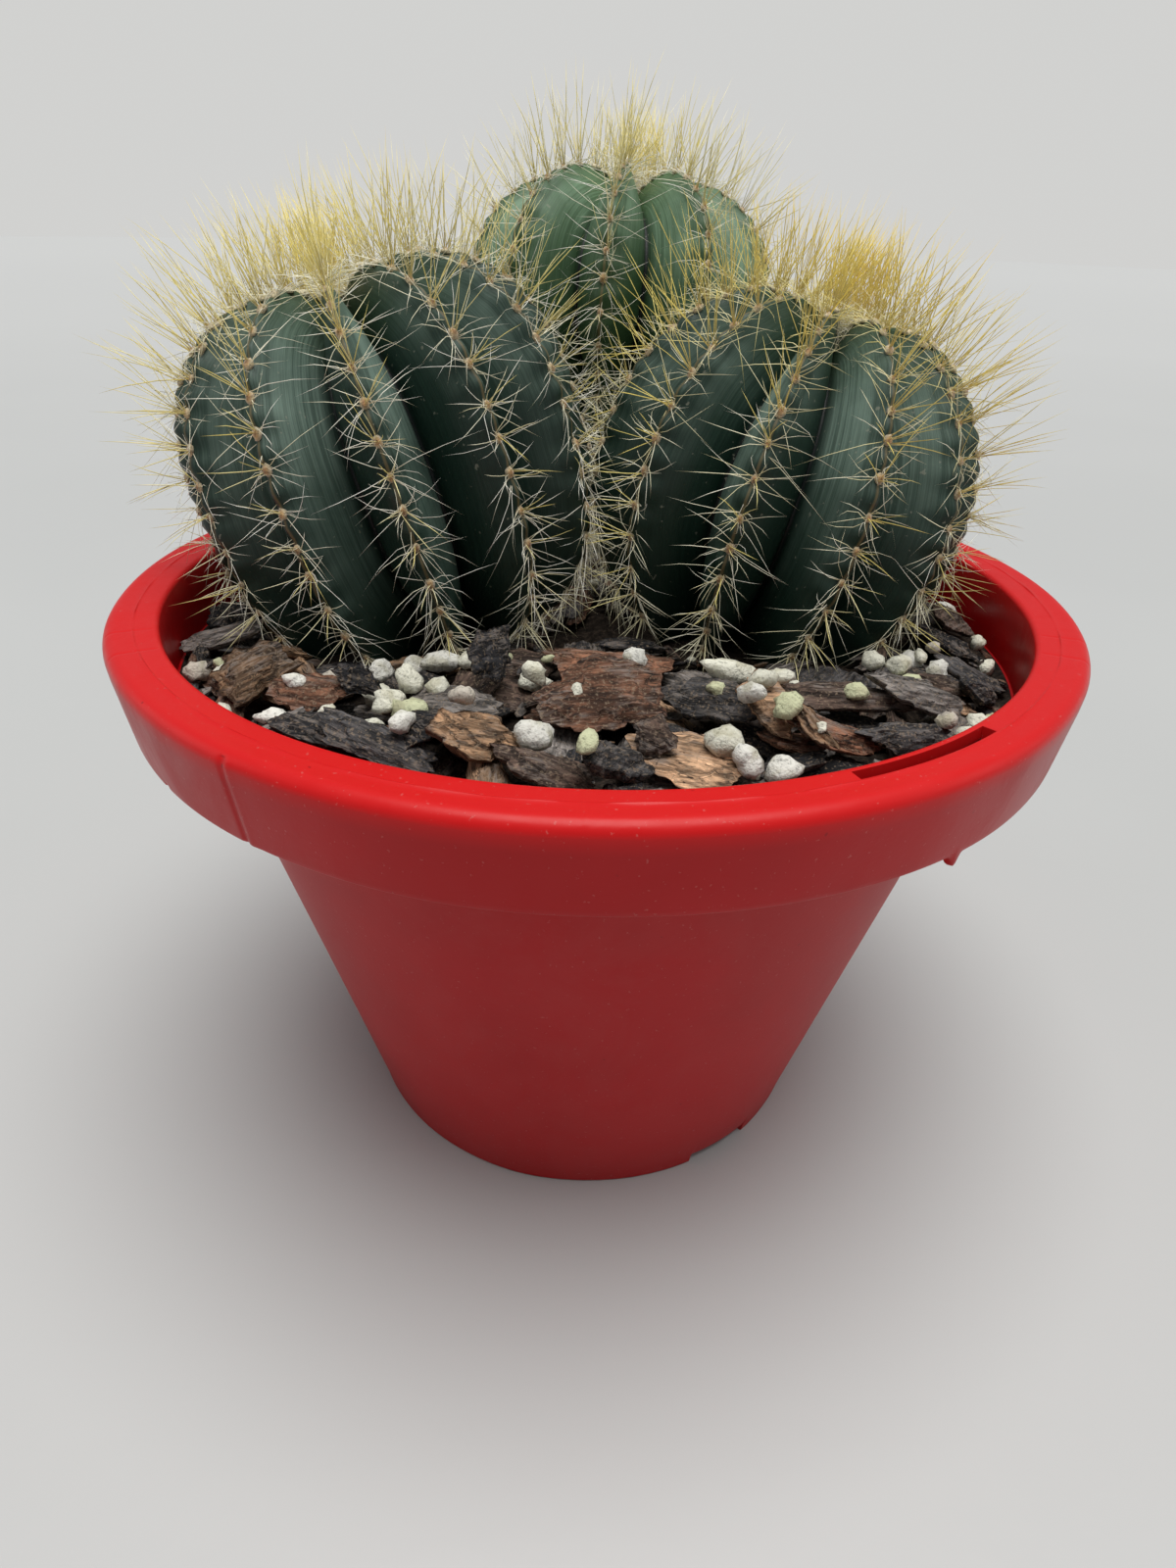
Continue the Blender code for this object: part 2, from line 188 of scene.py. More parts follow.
def noise(tree, vector, scale, detail=3.0, rough=0.55, distortion=0.0):
    return add(tree, "TexNoise", {"Vector": vector, "Scale": scale, "Detail": detail, "Roughness": rough,
                                  "Distortion": distortion}).outputs["Fac"]


def ramp(tree, factor, stops):
    # colour ramp from (place, colour) stops; a plain number is a grey
    made = add(tree, "ValToRGB", {"Fac": factor})
    bar = made.color_ramp.elements
    while len(bar) < len(stops):
        bar.new(0.5)
    for element, (place, colour) in zip(bar, stops):
        element.position = place
        element.color = (colour, colour, colour, 1) if np.isscalar(colour) else (*colour, 1)
    return made.outputs["Color"]


def mix(tree, factor, first, second, blend="MIX"):
    made = tree.nodes.new("ShaderNodeMix")
    made.data_type = "RGBA"
    made.blend_type = blend
    for index, value in ((0, factor), (6, first), (7, second)):
        if isinstance(value, bpy.types.NodeSocket):
            tree.links.new(value, made.inputs[index])
        elif index:
            made.inputs[index].default_value = (*value, 1)
        else:
            made.inputs[index].default_value = value
    return made.outputs[2]


def maths(tree, operation, first, second=0.5):
    # the third input, which only MULTIPLY_ADD uses, is one half
    made = tree.nodes.new("ShaderNodeMath")
    made.operation = operation
    made.inputs[2].default_value = 0.5
    for index, value in enumerate((first, second)):
        if isinstance(value, bpy.types.NodeSocket):
            tree.links.new(value, made.inputs[index])
        else:
            made.inputs[index].default_value = value
    return made.outputs[0]


def times(tree, first, second):
    return maths(tree, "MULTIPLY", first, second)


def shade(tree, colour, by):
    # a colour multiplied by another, or by a grey
    return mix(tree, 1.0, colour, by, "MULTIPLY")


def paint(tree, shader, value, socket="Base Color"):
    tree.links.new(value, shader.inputs[socket])


def relief(tree, shader, height, strength, distance):
    # fine bumps in the shading, distance in millimetres
    made = add(tree, "Bump", {"Height": height, "Strength": strength, "Distance": distance * mm})
    tree.links.new(made.outputs["Normal"], shader.inputs["Normal"])


# ---- the view, the floor and the light

# place and lens in millimetres, the three turns in degrees
view = {"place": (0.0, -221.7, 200.0), "lookDown": 29.52, "turn": 0.21, "roll": 1.79, "lens": 24.317}


def makeCamera():
    data = bpy.data.cameras.new("camera")
    data.lens = view["lens"]
    data.sensor_width = 36.0
    data.clip_start = 0.01
    made = bpy.data.objects.new("camera", data)
    tilt = Matrix.Rotation(np.radians(90 - view["lookDown"]), 4, "X")
    turn = Matrix.Rotation(np.radians(view["turn"]), 4, "Y")
    roll = Matrix.Rotation(np.radians(view["roll"]), 4, "Z")
    made.matrix_world = Matrix.Translation([v * mm for v in view["place"]]) @ tilt @ turn @ roll
    bpy.context.scene.collection.objects.link(made)
    bpy.context.scene.camera = made


def floorMaterial():
    # pale and a little uneven, lighter far away where it meets the room's colour
    made, tree, shader = newMaterial("paleFloor", 0.42)
    at = coords(tree)
    broad = noise(tree, at, 3.0, 2)
    near = ramp(tree, broad, [(0.4, (0.495, 0.505, 0.5)), (0.6, (0.51, 0.52, 0.515))])
    away = add(tree, "VectorMath", {0: at}, operation="LENGTH").outputs["Value"]
    far = ramp(tree, times(tree, away, 0.3), [(0.08, 0.0), (0.5, 0.75), (1.0, 1.0)])
    paint(tree, shader, mix(tree, far, near, (0.64, 0.65, 0.645)))
    relief(tree, shader, noise(tree, at, 90.0, 3), 0.12, 0.6)
    return made


disc = {"radius": 4200, "rings": 14, "turns": 96}


def makeFloor():
    # A wide flat disc: rings around its middle, at radii that grow as the square of their number
    turns = disc["turns"]
    r = disc["radius"] * np.linspace(0, 1, disc["rings"] + 1)[1:, None] ** 2
    a = np.linspace(0, 2 * np.pi, turns, endpoint=False)
    ring = np.stack([r * np.cos(a), r * np.sin(a), np.zeros((len(r), turns))], -1).reshape(-1, 3)
    points = np.concatenate([ring, [[0.0, 0.0, 0.0]]])
    faces = [gridQuads(len(r), turns)[:, ::-1], fanTriangles(len(points) - 1, np.arange(turns))]
    makePiece("floor", points, faces, floorMaterial())


lights = {
    # soft key from overhead, like a ceiling panel far away: direction it comes from, width in degrees,
    # strength
    "overhead": {"from": (0.06, -0.1, 1.0), "spread": 46.0, "strength": 3.0, "tone": (1, 0.985, 0.965)},
    # fills: place and size in millimetres, power in watts
    "leftFill": {"place": (-800, 60, 420), "aim": (0, 0, 110), "size": (420, 500), "power": 0.42,
                 "tone": (1, 1, 1)},
    "rightFill": {"place": (800, -60, 440), "aim": (0, 0, 110), "size": (420, 500), "power": 0.42,
                  "tone": (1, 0.99, 0.97)},
}
# seen is what the camera meets behind the floor; light, times strength, is what reaches everything else
room = {"seen": (0.64, 0.64, 0.628), "light": (0.86, 0.88, 0.9), "strength": 0.3}


def makeLights():
    for name, light in lights.items():
        sun = "from" in light
        data = bpy.data.lights.new(name, "SUN" if sun else "AREA")
        data.color = light["tone"]
        if sun:
            data.energy = light["strength"]
            data.angle = np.radians(light["spread"])
            place, back = np.array([0, 0, 1.0]), unit(np.array(light["from"]))
        else:
            data.shape = "RECTANGLE"
            data.size, data.size_y = (side * mm for side in light["size"])
            data.energy = light["power"]
            place = np.array(light["place"]) * mm
            back = unit(place - np.array(light["aim"]) * mm)
        across = unit(np.cross((0, 1, 0.1), back))
        columns = np.column_stack([across, np.cross(back, across), back, place])
        made = bpy.data.objects.new(name, data)
        made.matrix_world = Matrix((*columns.tolist(), (0, 0, 0, 1)))
        bpy.context.scene.collection.objects.link(made)
    world = bpy.data.worlds.new("softRoom")
    world.use_nodes = True
    tree = world.node_tree
    glow = tree.nodes["Background"]
    glow.inputs["Color"].default_value = (*room["light"], 1)
    glow.inputs["Strength"].default_value = room["strength"]
    seen = add(tree, "Background", {"Color": (*room["seen"], 1), "Strength": 1.0})
    choice = tree.nodes.new("ShaderNodeMixShader")
    ray = tree.nodes.new("ShaderNodeLightPath").outputs
    tree.links.new(ray["Is Camera Ray"], choice.inputs[0])
    tree.links.new(glow.outputs[0], choice.inputs[1])
    tree.links.new(seen.outputs[0], choice.inputs[2])
    tree.links.new(choice.outputs[0], tree.nodes["World Output"].inputs["Surface"])
    bpy.context.scene.world = world
    bpy.context.scene.view_settings.view_transform = "Standard"


# ---- the pot

pot = {
    # millimetres, and degrees around the pot from +X for what sits at one place on the rim
    "height": 124.8, "rimRadius": potHigh[0], "mouthRadius": 89.6, "tubTop": 83.9, "foot": 54.45,
    "skirtDrop": 17.5, "edgeRound": 2.6, "mouthRound": 1.1, "footRound": 0.8, "floorTop": 4.7,
    "skirtTaper": 2.5, "plastic": 2.2, "shoulder": 106.6, "footHeight": 2.5, "footRing": 8.0, "footPad": 18.0,
    "slot": (-65.0, -46.0, 91.3, 93.8), "notchMiddle": -53.0, "notchSpan": 17.5, "notches": 3,
    "ringRadius": 94.3, "ringHeight": 0.16, "seam": -90.4, "crease": -124.0, "nib": -52.7, "nick": -138.7,
    "sinkLines": (-157.6, -151.1, -21.4, -15.2), "drains": 6, "drainSpan": 16.0, "drainReach": (28.0, 35.0),
}


def arcProfile(centre, radius, start, end, steps):
    # centre plus radius times cosine and sine, from the start to the end angle in degrees
    a = np.radians(np.linspace(start, end, steps + 1))
    return np.stack([centre[0] + radius * np.cos(a), centre[1] + radius * np.sin(a)], 1)


def lineProfile(start, end, steps):
    # evenly spaced points from start towards end, without the last one
    return np.linspace(start, end, steps + 1)[:-1]


def potProfile():
    # (radius, height) of the wall's section, from the middle of the underside, out, up, over the rim and
    # down inside, with the number of the first point of each stretch
    top, thick = pot["height"], pot["plastic"]
    skirtFoot = top - pot["skirtDrop"]
    slope = (pot["tubTop"] - pot["foot"]) / skirtFoot
    wall = pot["mouthRadius"] + 1.4
    shoulder = (pot["foot"] + slope * pot["shoulder"], pot["shoulder"])
    footInner = pot["foot"] - pot["footRing"]
    rim, mouth = pot["rimRadius"], pot["mouthRadius"]
    low, high = pot["slot"][2:]
    skirt = rim - pot["skirtTaper"]
    edge, lip, foot, footRound = pot["edgeRound"], pot["mouthRound"], pot["foot"], pot["footRound"]
    lift, pad, inner, outer, floorTop = pot["footHeight"], pot["footPad"], *pot["drainReach"], pot["floorTop"]
    ring, ringTop, side = pot["ringRadius"], top + pot["ringHeight"], shoulder[1]
    stretches = {
        "under": [(0.3, 0), (pad, 0), (pad + 0.8, lift), (inner, lift), (outer, lift),
                  (footInner - 0.8, lift), (footInner, 0), (foot - footRound, 0)],
        "tub": np.concatenate([arcProfile((foot - footRound, footRound), footRound, -60, 0, 3),
                               lineProfile((foot + 0.2, 2.0), shoulder, 30), [shoulder]]),
        "neck": [(shoulder[0] + 1.2, side + 0.4), (wall - 1.0, side + 2.2), (wall - 0.4, side + 3.4)],
        "below": [(wall, top - thick - 1.0), (wall + 0.1, top - thick), (low, top - thick),
                  (high, top - thick), (rim - thick - 1.6, top - thick),
                  (rim - thick - 0.7, top - thick - 1.0)],
        "lip": np.concatenate([lineProfile((rim - thick - 0.9, top - thick - 3),
                                           (skirt - thick + 0.2, skirtFoot + 1), 4),
                               arcProfile((skirt - 1.2, skirtFoot + 0.5), 0.7, 180, 270, 3),
                               arcProfile((skirt - 0.5, skirtFoot + 0.5), 0.5, -90, -10, 3)]),
        "skirt": lineProfile((skirt + 0.15, skirtFoot + 1.2), (rim - 0.05, top - 3.4), 12),
        "edge": arcProfile((rim - edge, top - edge), edge, 2, 88, 12),
        "top": np.concatenate([lineProfile((rim - 3.0, top), (ring + 0.7, top), 4),
                               [(ring + 0.35, top), (ring, ringTop), (ring - 0.25, top), (high, top),
                                (low, top)]]),
        "mouth": arcProfile((mouth + lip, top - lip), lip, 90, 175, 6),
        "inside": [(mouth - 0.3, top - 5), (mouth - 0.8, side + 4.0), (shoulder[0] - 1.9, side + 1.2),
                   (foot - 1.0, floorTop + 3.0), (foot - 4.2, floorTop), (outer, floorTop), (inner, floorTop),
                   (0.3, floorTop)],
    }
    starts, count = {}, 0
    for name, stretch in stretches.items():
        starts[name] = count
        count += len(stretch)
    return np.concatenate([np.array(stretch, float) for stretch in stretches.values()]), starts


def potAngles():
    # one column each degree, and closer ones where the moulding marks are
    fine = [pot["seam"], pot["crease"], pot["nib"], pot["nick"], *pot["sinkLines"]]
    near = np.concatenate([middle + np.linspace(-1.2, 1.2, 13) for middle in fine])
    half = pot["notchSpan"] / 2
    middles = pot["notchMiddle"] + np.arange(pot["notches"]) * 360 / pot["notches"]
    ends = np.concatenate([m + side * half + np.array([-0.12, 0.12]) for m in middles for side in (-1, 1)])
    every = np.concatenate([np.arange(-180, 180), near, (ends + 180) % 360 - 180])
    every = np.unique(np.round(every, 3))
    return every[np.concatenate([[True], np.diff(every) > 0.04])]


def openWindow(cols, first, second, cut):
    # Walls of an opening through the wall between two rows of quads, at the columns where cut is true. The
    # row after each named one bounds the opening too, and the two pairs run in opposite ways
    c = np.flatnonzero(cut)
    n = (c + 1) % cols
    start = np.flatnonzero(cut & ~np.roll(cut, 1))
    end = (np.flatnonzero(cut & ~np.roll(cut, -1)) + 1) % cols
    a, b, d, e = first * cols, (first + 1) * cols, second * cols, (second + 1) * cols
    return np.concatenate([np.stack([a + c, a + n, e + n, e + c], -1),
                           np.stack([b + n, b + c, d + c, d + n], -1),
                           np.stack([b + start, a + start, e + start, d + start], -1),
                           np.stack([a + end, b + end, d + end, e + end], -1)])


def makePot():
    # The profile turned about +Z, then moved a little where the moulding left marks; the label slot, the
    # drain openings and the foot notches are real
    profile, starts = potProfile()
    angle = potAngles()
    rows, cols = len(profile), len(angle)
    row = np.arange(rows)[:, None]
    a = np.broadcast_to(angle, (rows, cols))
    r = np.broadcast_to(profile[:, :1], (rows, cols)).copy()
    z = np.broadcast_to(profile[:, 1:], (rows, cols)).copy()

    onSkirt = (row >= starts["lip"] + 4) & (row < starts["edge"] + 6)
    onLip = (row >= starts["lip"] + 4) & (row < starts["skirt"])
    onTop = (row >= starts["edge"] + 6) & (row < starts["mouth"])
    onTub = (row >= starts["tub"]) & (row < starts["neck"])
    turn = np.radians(a)
    wobble = 0.16 * np.sin(3 * turn + 0.7) + 0.1 * np.sin(7 * turn + 2.1) + 0.05 * np.sin(13 * turn)
    r += np.where(onSkirt | onTop, wobble, 0) + np.where(onTub, 0.7 * wobble, 0)
    r -= np.where(onSkirt, 0.3 * bump(a, pot["crease"], 0.35) - 0.12 * bump(a, pot["crease"] + 0.9, 0.5), 0)
    z -= np.where(onLip, 2.3 * bump(a, pot["nib"], 0.55) - 1.1 * bump(a, pot["nick"], 0.4), 0)
    z += np.where(onTop, 0.07 * bump(a, pot["seam"], 0.16), 0)
    for line in pot["sinkLines"]:
        z -= np.where(onTop, 0.1 * bump(a, line, 0.22), 0)
    z += np.where(row == starts["top"] + 5, 0.06 * np.sin(41 * turn) + 0.05 * np.sin(17 * turn + 1), 0)
    gap = (a - pot["notchMiddle"] + 180 / pot["notches"]) % (360 / pot["notches"]) - 180 / pot["notches"]
    inNotch = (np.abs(gap) < pot["notchSpan"] / 2) & (r > pot["foot"] - 9) & (r < pot["foot"] + 1)
    z = np.where(inNotch, np.maximum(z, pot["footHeight"] + 0.4), z)

    points = np.stack([r * np.cos(turn), r * np.sin(turn), z], -1).reshape(-1, 3)
    quads = gridQuads(rows, cols)
    inSlot = (angle >= pot["slot"][0] - 0.01) & (angle < pot["slot"][1] - 0.01)
    spacing = 360 / pot["drains"]
    fromDrain = (angle + spacing / 2) % spacing - spacing / 2
    inDrain = (fromDrain >= -pot["drainSpan"] / 2 - 0.01) & (fromDrain < pot["drainSpan"] / 2 - 0.01)
    quadRow, quadCol = quads[:, 0] // cols, quads[:, 0] % cols
    keep = np.ones(len(quads), bool)
    walls = []
    for first, second, opened in ((starts["mouth"] - 2, starts["below"] + 2, inSlot), (3, rows - 3, inDrain)):
        keep &= ~(opened[quadCol] & ((quadRow == first) | (quadRow == second)))
        walls.append(openWindow(cols, first, second, opened))
    bottom, floor = len(points), len(points) + 1
    points = np.concatenate([points, [[0, 0, 0], [0, 0, pot["floorTop"]]]])
    last = (rows - 1) * cols + np.arange(cols)
    faces = [quads[keep], *walls, fanTriangles(bottom, np.arange(cols), True), fanTriangles(floor, last)]
    made = makePiece("redPot", points, faces, potMaterial())
    made.data.set_sharp_from_angle(angle=np.radians(38))
    settle(made, "pot_plastic", "pot")


def potMaterial():
    # Bright red moulded plastic: an even gloss under thin dust, dull haze on the tub that is paler towards
    # its foot, pale specks,
    #     # small pits darkened with painted shade, and a painted highlight that makes the rim's top face a
    #     brighter red
    made, tree, shader = newMaterial("redPlastic", 0.36, Specular_IOR_Level=0.24)
    at = coords(tree)
    height = split(tree, at)["Z"]
    onTub = ramp(tree, times(tree, height, 8.0), [(0.8, 1.0), (0.86, 0.0)])
    low = ramp(tree, times(tree, height, 8.0), [(0.05, 1.0), (0.75, 0.35)])
    red = mix(tree, ramp(tree, noise(tree, at, 22.0, 3), [(0.4, 0.0), (0.6, 1.0)]), (0.4, 0.0003, 0.0018),
              (0.44, 0.0006, 0.0028))
    # painted highlight: the rim's flat top face is painted a brighter red, standing for the overhead light on
    # it
    rimTop = ramp(tree, times(tree, height, 8.0), [(0.955, 0.0), (0.992, 1.0)])
    red = mix(tree, rimTop, red, (0.62, 0.009, 0.01))
    dust = noise(tree, coords(tree, "Object", (1, 1, 0.7)), 46.0, 6, 0.72, 0.6)
    dust = ramp(tree, dust, [(0.44, 0.0), (0.6, 1.0)])
    hazy = times(tree, times(tree, dust, onTub), 0.03)
    hazy = maths(tree, "ADD", hazy, times(tree, times(tree, onTub, low), 0.012))
    dusty = mix(tree, hazy, red, (0.6, 0.36, 0.34))
    speck = ramp(tree, noise(tree, at, 1300.0, 2, 0.5), [(0.7, 0.0), (0.72, 1.0)])
    specked = mix(tree, times(tree, speck, 0.2), dusty, (0.6, 0.3, 0.27))
    # painted shade: small pits darkened to a deep red, as if no light fell into them
    paintedPitShade = noise(tree, coords(tree, "Object", (1.3, 1, 1)), 420.0, 1, 0.4)
    paintedPitShade = ramp(tree, paintedPitShade, [(0.175, 1.0), (0.2, 0.0)])
    paint(tree, shader, mix(tree, times(tree, paintedPitShade, 0.5), specked, (0.16, 0.002, 0.004)))
    rough = mix(tree, onTub, (0.33, 0.33, 0.33), (0.46, 0.46, 0.46))
    rough = mix(tree, times(tree, dust, 0.4), rough, (0.58, 0.58, 0.58))
    paint(tree, shader, rough, "Roughness")
    drawn = noise(tree, coords(tree, "Object", (1, 1, 6)), 70.0, 4)
    grain = mix(tree, 0.35, noise(tree, at, 900.0, 2), drawn)
    relief(tree, shader, grain, 0.12, 0.25)
    return made


# ---- the heads

heads = {
    # centre, crest radius and half height, lean towards +X and +Y in degrees, number of ribs, turn of the
    # first one, fullness (1 is an ellipse, less is squarer), how far the stem tapers on below, and how
    # golden the spines are
    "left": {"centre": (-45.0, 12.0, 144.8), "radius": 42.2, "halfHeight": 41.4, "lean": (-17.3, 1.4),
             "ribs": 12, "turn": 222.2, "fullness": 0.76, "stem": 0.0, "gold": 0.45,
             "skin": (0.01, 0.029, 0.02)},
    "right": {"centre": (39.5, 16.0, 142.0), "radius": 40.8, "halfHeight": 41.6, "lean": (14.2, 1.1),
              "ribs": 11, "turn": 185.3, "fullness": 0.95, "stem": 0.0, "gold": 1.0,
              "skin": (0.01, 0.03, 0.02)},
    "back": {"centre": (3.6, 80.0, 173.0), "radius": 38.8, "halfHeight": 30.5, "lean": (4.5, 14.0),
             "ribs": 10, "turn": 191.3, "fullness": 0.85, "stem": 44.0, "gold": 0.35,
             "skin": (0.034, 0.078, 0.03)},
}
ribs = {"depth": 0.35, "fadeRadius": 0.34, "crownDimple": 0.16, "dimpleSpread": 0.3, "stemLatitude": -42.0,
        "crestRound": 0.04, "bulge": 0.075, "notch": 0.022, "columns": 24, "rows": 150}
areoleStep = {"first": 3.2, "crown": 2.6, "body": 6.9, "grow": 17.0}


def headFrame(head):
    # rows are the head's own x, y and z directions
    up = unit(np.array([*np.tan(np.radians(head["lean"])), 1.0]))
    across = unit(np.array([1.0, 0, 0]) - up * up[0])
    return np.array([across, np.cross(up, across), up])


def crestOutline(head, latitude):
    # Radius and height of the rib crests: an ellipse with its cosine and sine raised to the fullness, sunk
    # at the crown by a bell and drawn down into a stem below
    power = head["fullness"]
    r = head["radius"] * np.maximum(np.cos(latitude), 0) ** power
    h = head["halfHeight"] * np.sign(latitude) * np.abs(np.sin(latitude)) ** power
    low = np.radians(ribs["stemLatitude"])
    h = h - head["stem"] * smoothStep((low - latitude) / (np.pi / 2 + low))
    sunk = ribs["crownDimple"] * head["halfHeight"] * bump(r, 0, ribs["dimpleSpread"] * head["radius"])
    return r, h - np.where(latitude > 0, sunk, 0)


def areoleLatitudes(head):
    # Where the areoles sit on a crest: steps along it that widen from the crown outwards. Returns their
    # latitudes, and a function from latitude to areole number that runs on between them
    latitude = np.radians(np.linspace(90, -90, 721))
    r, h = crestOutline(head, latitude)
    along = np.concatenate([[0], np.cumsum(np.hypot(np.diff(r), np.diff(h)))])
    places = [areoleStep["first"]]
    while places[-1] < along[-1] - 12:
        grown = 1 - np.exp(-places[-1] / areoleStep["grow"])
        places.append(places[-1] + areoleStep["crown"] + (areoleStep["body"] - areoleStep["crown"]) * grown)

    def numberAt(at):
        return np.interp(np.interp(-at, -latitude, along), places, np.arange(len(places)))

    return np.interp(places, along, latitude), numberAt


def headPoints(head, latitude, ribTurn):
    # ribTurn counts ribs: whole numbers are crests and halves are grooves. The outline shrinks towards the
    # centre by a rounded V with swollen flanks; the crest dips a little at each areole
    r, h = crestOutline(head, latitude)
    s = np.abs(ribTurn - np.round(ribTurn)) * 2
    soft = ribs["crestRound"]
    vee = (np.sqrt(s * s + soft * soft) - soft) / (np.sqrt(1 + soft * soft) - soft)
    flank = vee - ribs["bulge"] * np.sin(np.pi * s) + 0.035 * bump(s, 1.0, 0.07)
    fade = smoothStep(r / (ribs["fadeRadius"] * head["radius"])) * 0.92
    fade = fade + 0.08 * smoothStep(r / head["radius"])
    shrink = 1 - ribs["depth"] * fade * flank
    number = areoleLatitudes(head)[1](latitude)
    swell = ribs["notch"] * (0.5 - 0.5 * np.cos(2 * np.pi * number)) * bump(s, 0, 0.22) * fade
    axes = headFrame(head)
    angle = np.radians(head["turn"]) + ribTurn * 2 * np.pi / head["ribs"]
    flat = np.cos(angle)[..., None] * axes[0] + np.sin(angle)[..., None] * axes[1]
    points = flat * (r * (shrink + swell))[..., None] + axes[2] * (h * (shrink + 0.6 * swell))[..., None]
    own = 0.22 * lumps(points, 21.0, head["ribs"]) * smoothStep(s * 3)
    return np.array(head["centre"]) + points * (1 + own / head["radius"])[..., None]


def makeHead(name, head):
    # Rows from near one pole to near the other by columns round the ribs, with a point at each pole; the UV
    # map holds how far from crest to groove and how far up
    rows, cols = ribs["rows"], head["ribs"] * ribs["columns"]
    latitude = np.radians(np.linspace(-89.4, 89.4, rows))[:, None]
    ribTurn = (np.arange(cols) / ribs["columns"])[None, :]
    grid = headPoints(head, np.broadcast_to(latitude, (rows, cols)), np.broadcast_to(ribTurn, (rows, cols)))
    s = np.abs(ribTurn - np.round(ribTurn)) * 2
    down = np.linspace(0, 1, rows)[:, None]
    uv = np.stack(np.broadcast_arrays(s, down), -1).reshape(-1, 2)
    ends = [headPoints(head, np.array([end * np.pi / 2]), np.zeros(1))[0] for end in (-1, 1)]
    points = np.concatenate([grid.reshape(-1, 3), ends])
    uv = np.concatenate([uv, [[0.5, 0], [0.5, 1]]])
    count = rows * cols
    faces = [gridQuads(rows, cols), fanTriangles(count, np.arange(cols), True),
             fanTriangles(count + 1, count - cols + np.arange(cols))]
    made = makePiece(f"{name}Head", points, faces, skinMaterial(name, head["skin"]), uv)
    settle(made, "stem_skin_light" if name == "back" else "stem_skin", f"cactus_{name}")


def skinMaterial(name, green):
    # Waxy skin: dark green under a blue-grey bloom streaked down the flanks; the bloom is laid only on faces
    # that
    #     # turn to the sky, a painted highlight of the light from above; painted shade in the grooves,
    #     lighter at the crown, with a corky line on the crest
    made, tree, shader = newMaterial(f"{name}Skin", 0.42, Specular_IOR_Level=0.3)
    at = coords(tree)
    place = split(tree, coords(tree, "UV"))
    s, up = place["X"], place["Y"]
    facing = split(tree, tree.nodes.new("ShaderNodeNewGeometry").outputs["Normal"])["Z"]
    # painted highlight: faces that turn up to the sky get the pale bloom, standing for the light from above
    paintedTopLight = ramp(tree, maths(tree, "MULTIPLY_ADD", facing), [(0.51, 0.05), (0.74, 1.0)])
    streak = noise(tree, coords(tree, "UV", (30.0, 2.4, 1)), 1.0, 5, 0.65, 0.25)
    cloud = noise(tree, at, 34.0, 4, 0.6, 0.4)
    green = np.array(green)
    bloom = green * 2.0 + np.array((0.195, 0.25, 0.215))
    bloomAndTopLight = times(tree, ramp(tree, cloud, [(0.38, 0.45), (0.6, 1.0)]),
                        ramp(tree, streak, [(0.4, 0.5), (0.6, 1.0)]))
    # the real bloom pattern times the painted light from above
    bloomAndTopLight = times(tree, bloomAndTopLight, paintedTopLight)
    overFlank = ramp(tree, s, [(0.02, 0.3), (0.35, 0.95), (0.8, 1.0), (0.97, 0.1)])
    skin = mix(tree, times(tree, bloomAndTopLight, overFlank), tuple(green), tuple(bloom))
    crown = ramp(tree, up, [(0.74, 0.0), (0.97, 0.7)])
    skin = mix(tree, crown, skin, tuple(green * 2.0 + np.array((0.045, 0.062, 0.018))))
    fine = noise(tree, coords(tree, "UV", (80.0, 4.0, 1)), 1.0, 3, 0.6)
    fine = ramp(tree, fine, [(0.4, 0.84), (0.6, 1.1)])
    skin = shade(tree, skin, fine)
    # painted shade: a near-black line down the bottom of each groove
    groove = ramp(tree, s, [(0.9, 0.0), (0.97, 1.0)])
    skin = mix(tree, groove, skin, (0.003, 0.007, 0.006))
    scar = ramp(tree, noise(tree, at, 700.0, 2, 0.5), [(0.7, 0.0), (0.73, 1.0)])
    skin = mix(tree, times(tree, scar, 0.45), skin, (0.34, 0.34, 0.27))
    cork = ramp(tree, s, [(0.012, 1.0), (0.035, 0.0)])
    skin = mix(tree, times(tree, cork, 0.6), skin, (0.2, 0.15, 0.07))
    paint(tree, shader, skin)
    rough = ramp(tree, bloomAndTopLight, [(0.1, 0.36), (0.9, 0.58)])
    paint(tree, shader, rough, "Roughness")
    relief(tree, shader, mix(tree, 0.4, streak, noise(tree, at, 420.0, 2)), 0.3, 0.5)
    return made


# ---- areoles and spines

spines = {
    # counts for one areole, lengths and root radii in millimetres; for radials the angles in degrees: rise
    # off the skin, first one from straight down, spread of the fan, and how far the fan swings down lower
    # on the head
    "radial": {"count": 15, "length": (6.2, 11.6), "radius": 0.086, "bend": 0.34, "rise": (6, 40),
               "stray": 0.16, "nearest": 32, "fan": 112, "sweep": 30},
    "central": {"count": 7, "length": (13.5, 22.5), "radius": 0.112, "bend": 0.08, "stray": 0.33},
}
woolPad = {"long": 1.1, "wide": 0.82, "high": 0.7}
# hairs in the sunken crown: how many, how far from its middle, lengths and root radius
crownWool = {"count": 520, "reach": 7.5, "length": (2.0, 4.5), "radius": 0.14}
# gaps in millimetres that areoles and spines keep from mulch, wall and rim; head is a level of insideHead
clear = {"aboveMulch": 2.5, "mulch": 0.5, "wall": 0.8, "rim": 0.6, "rimTop": 0.4, "head": 0.93}


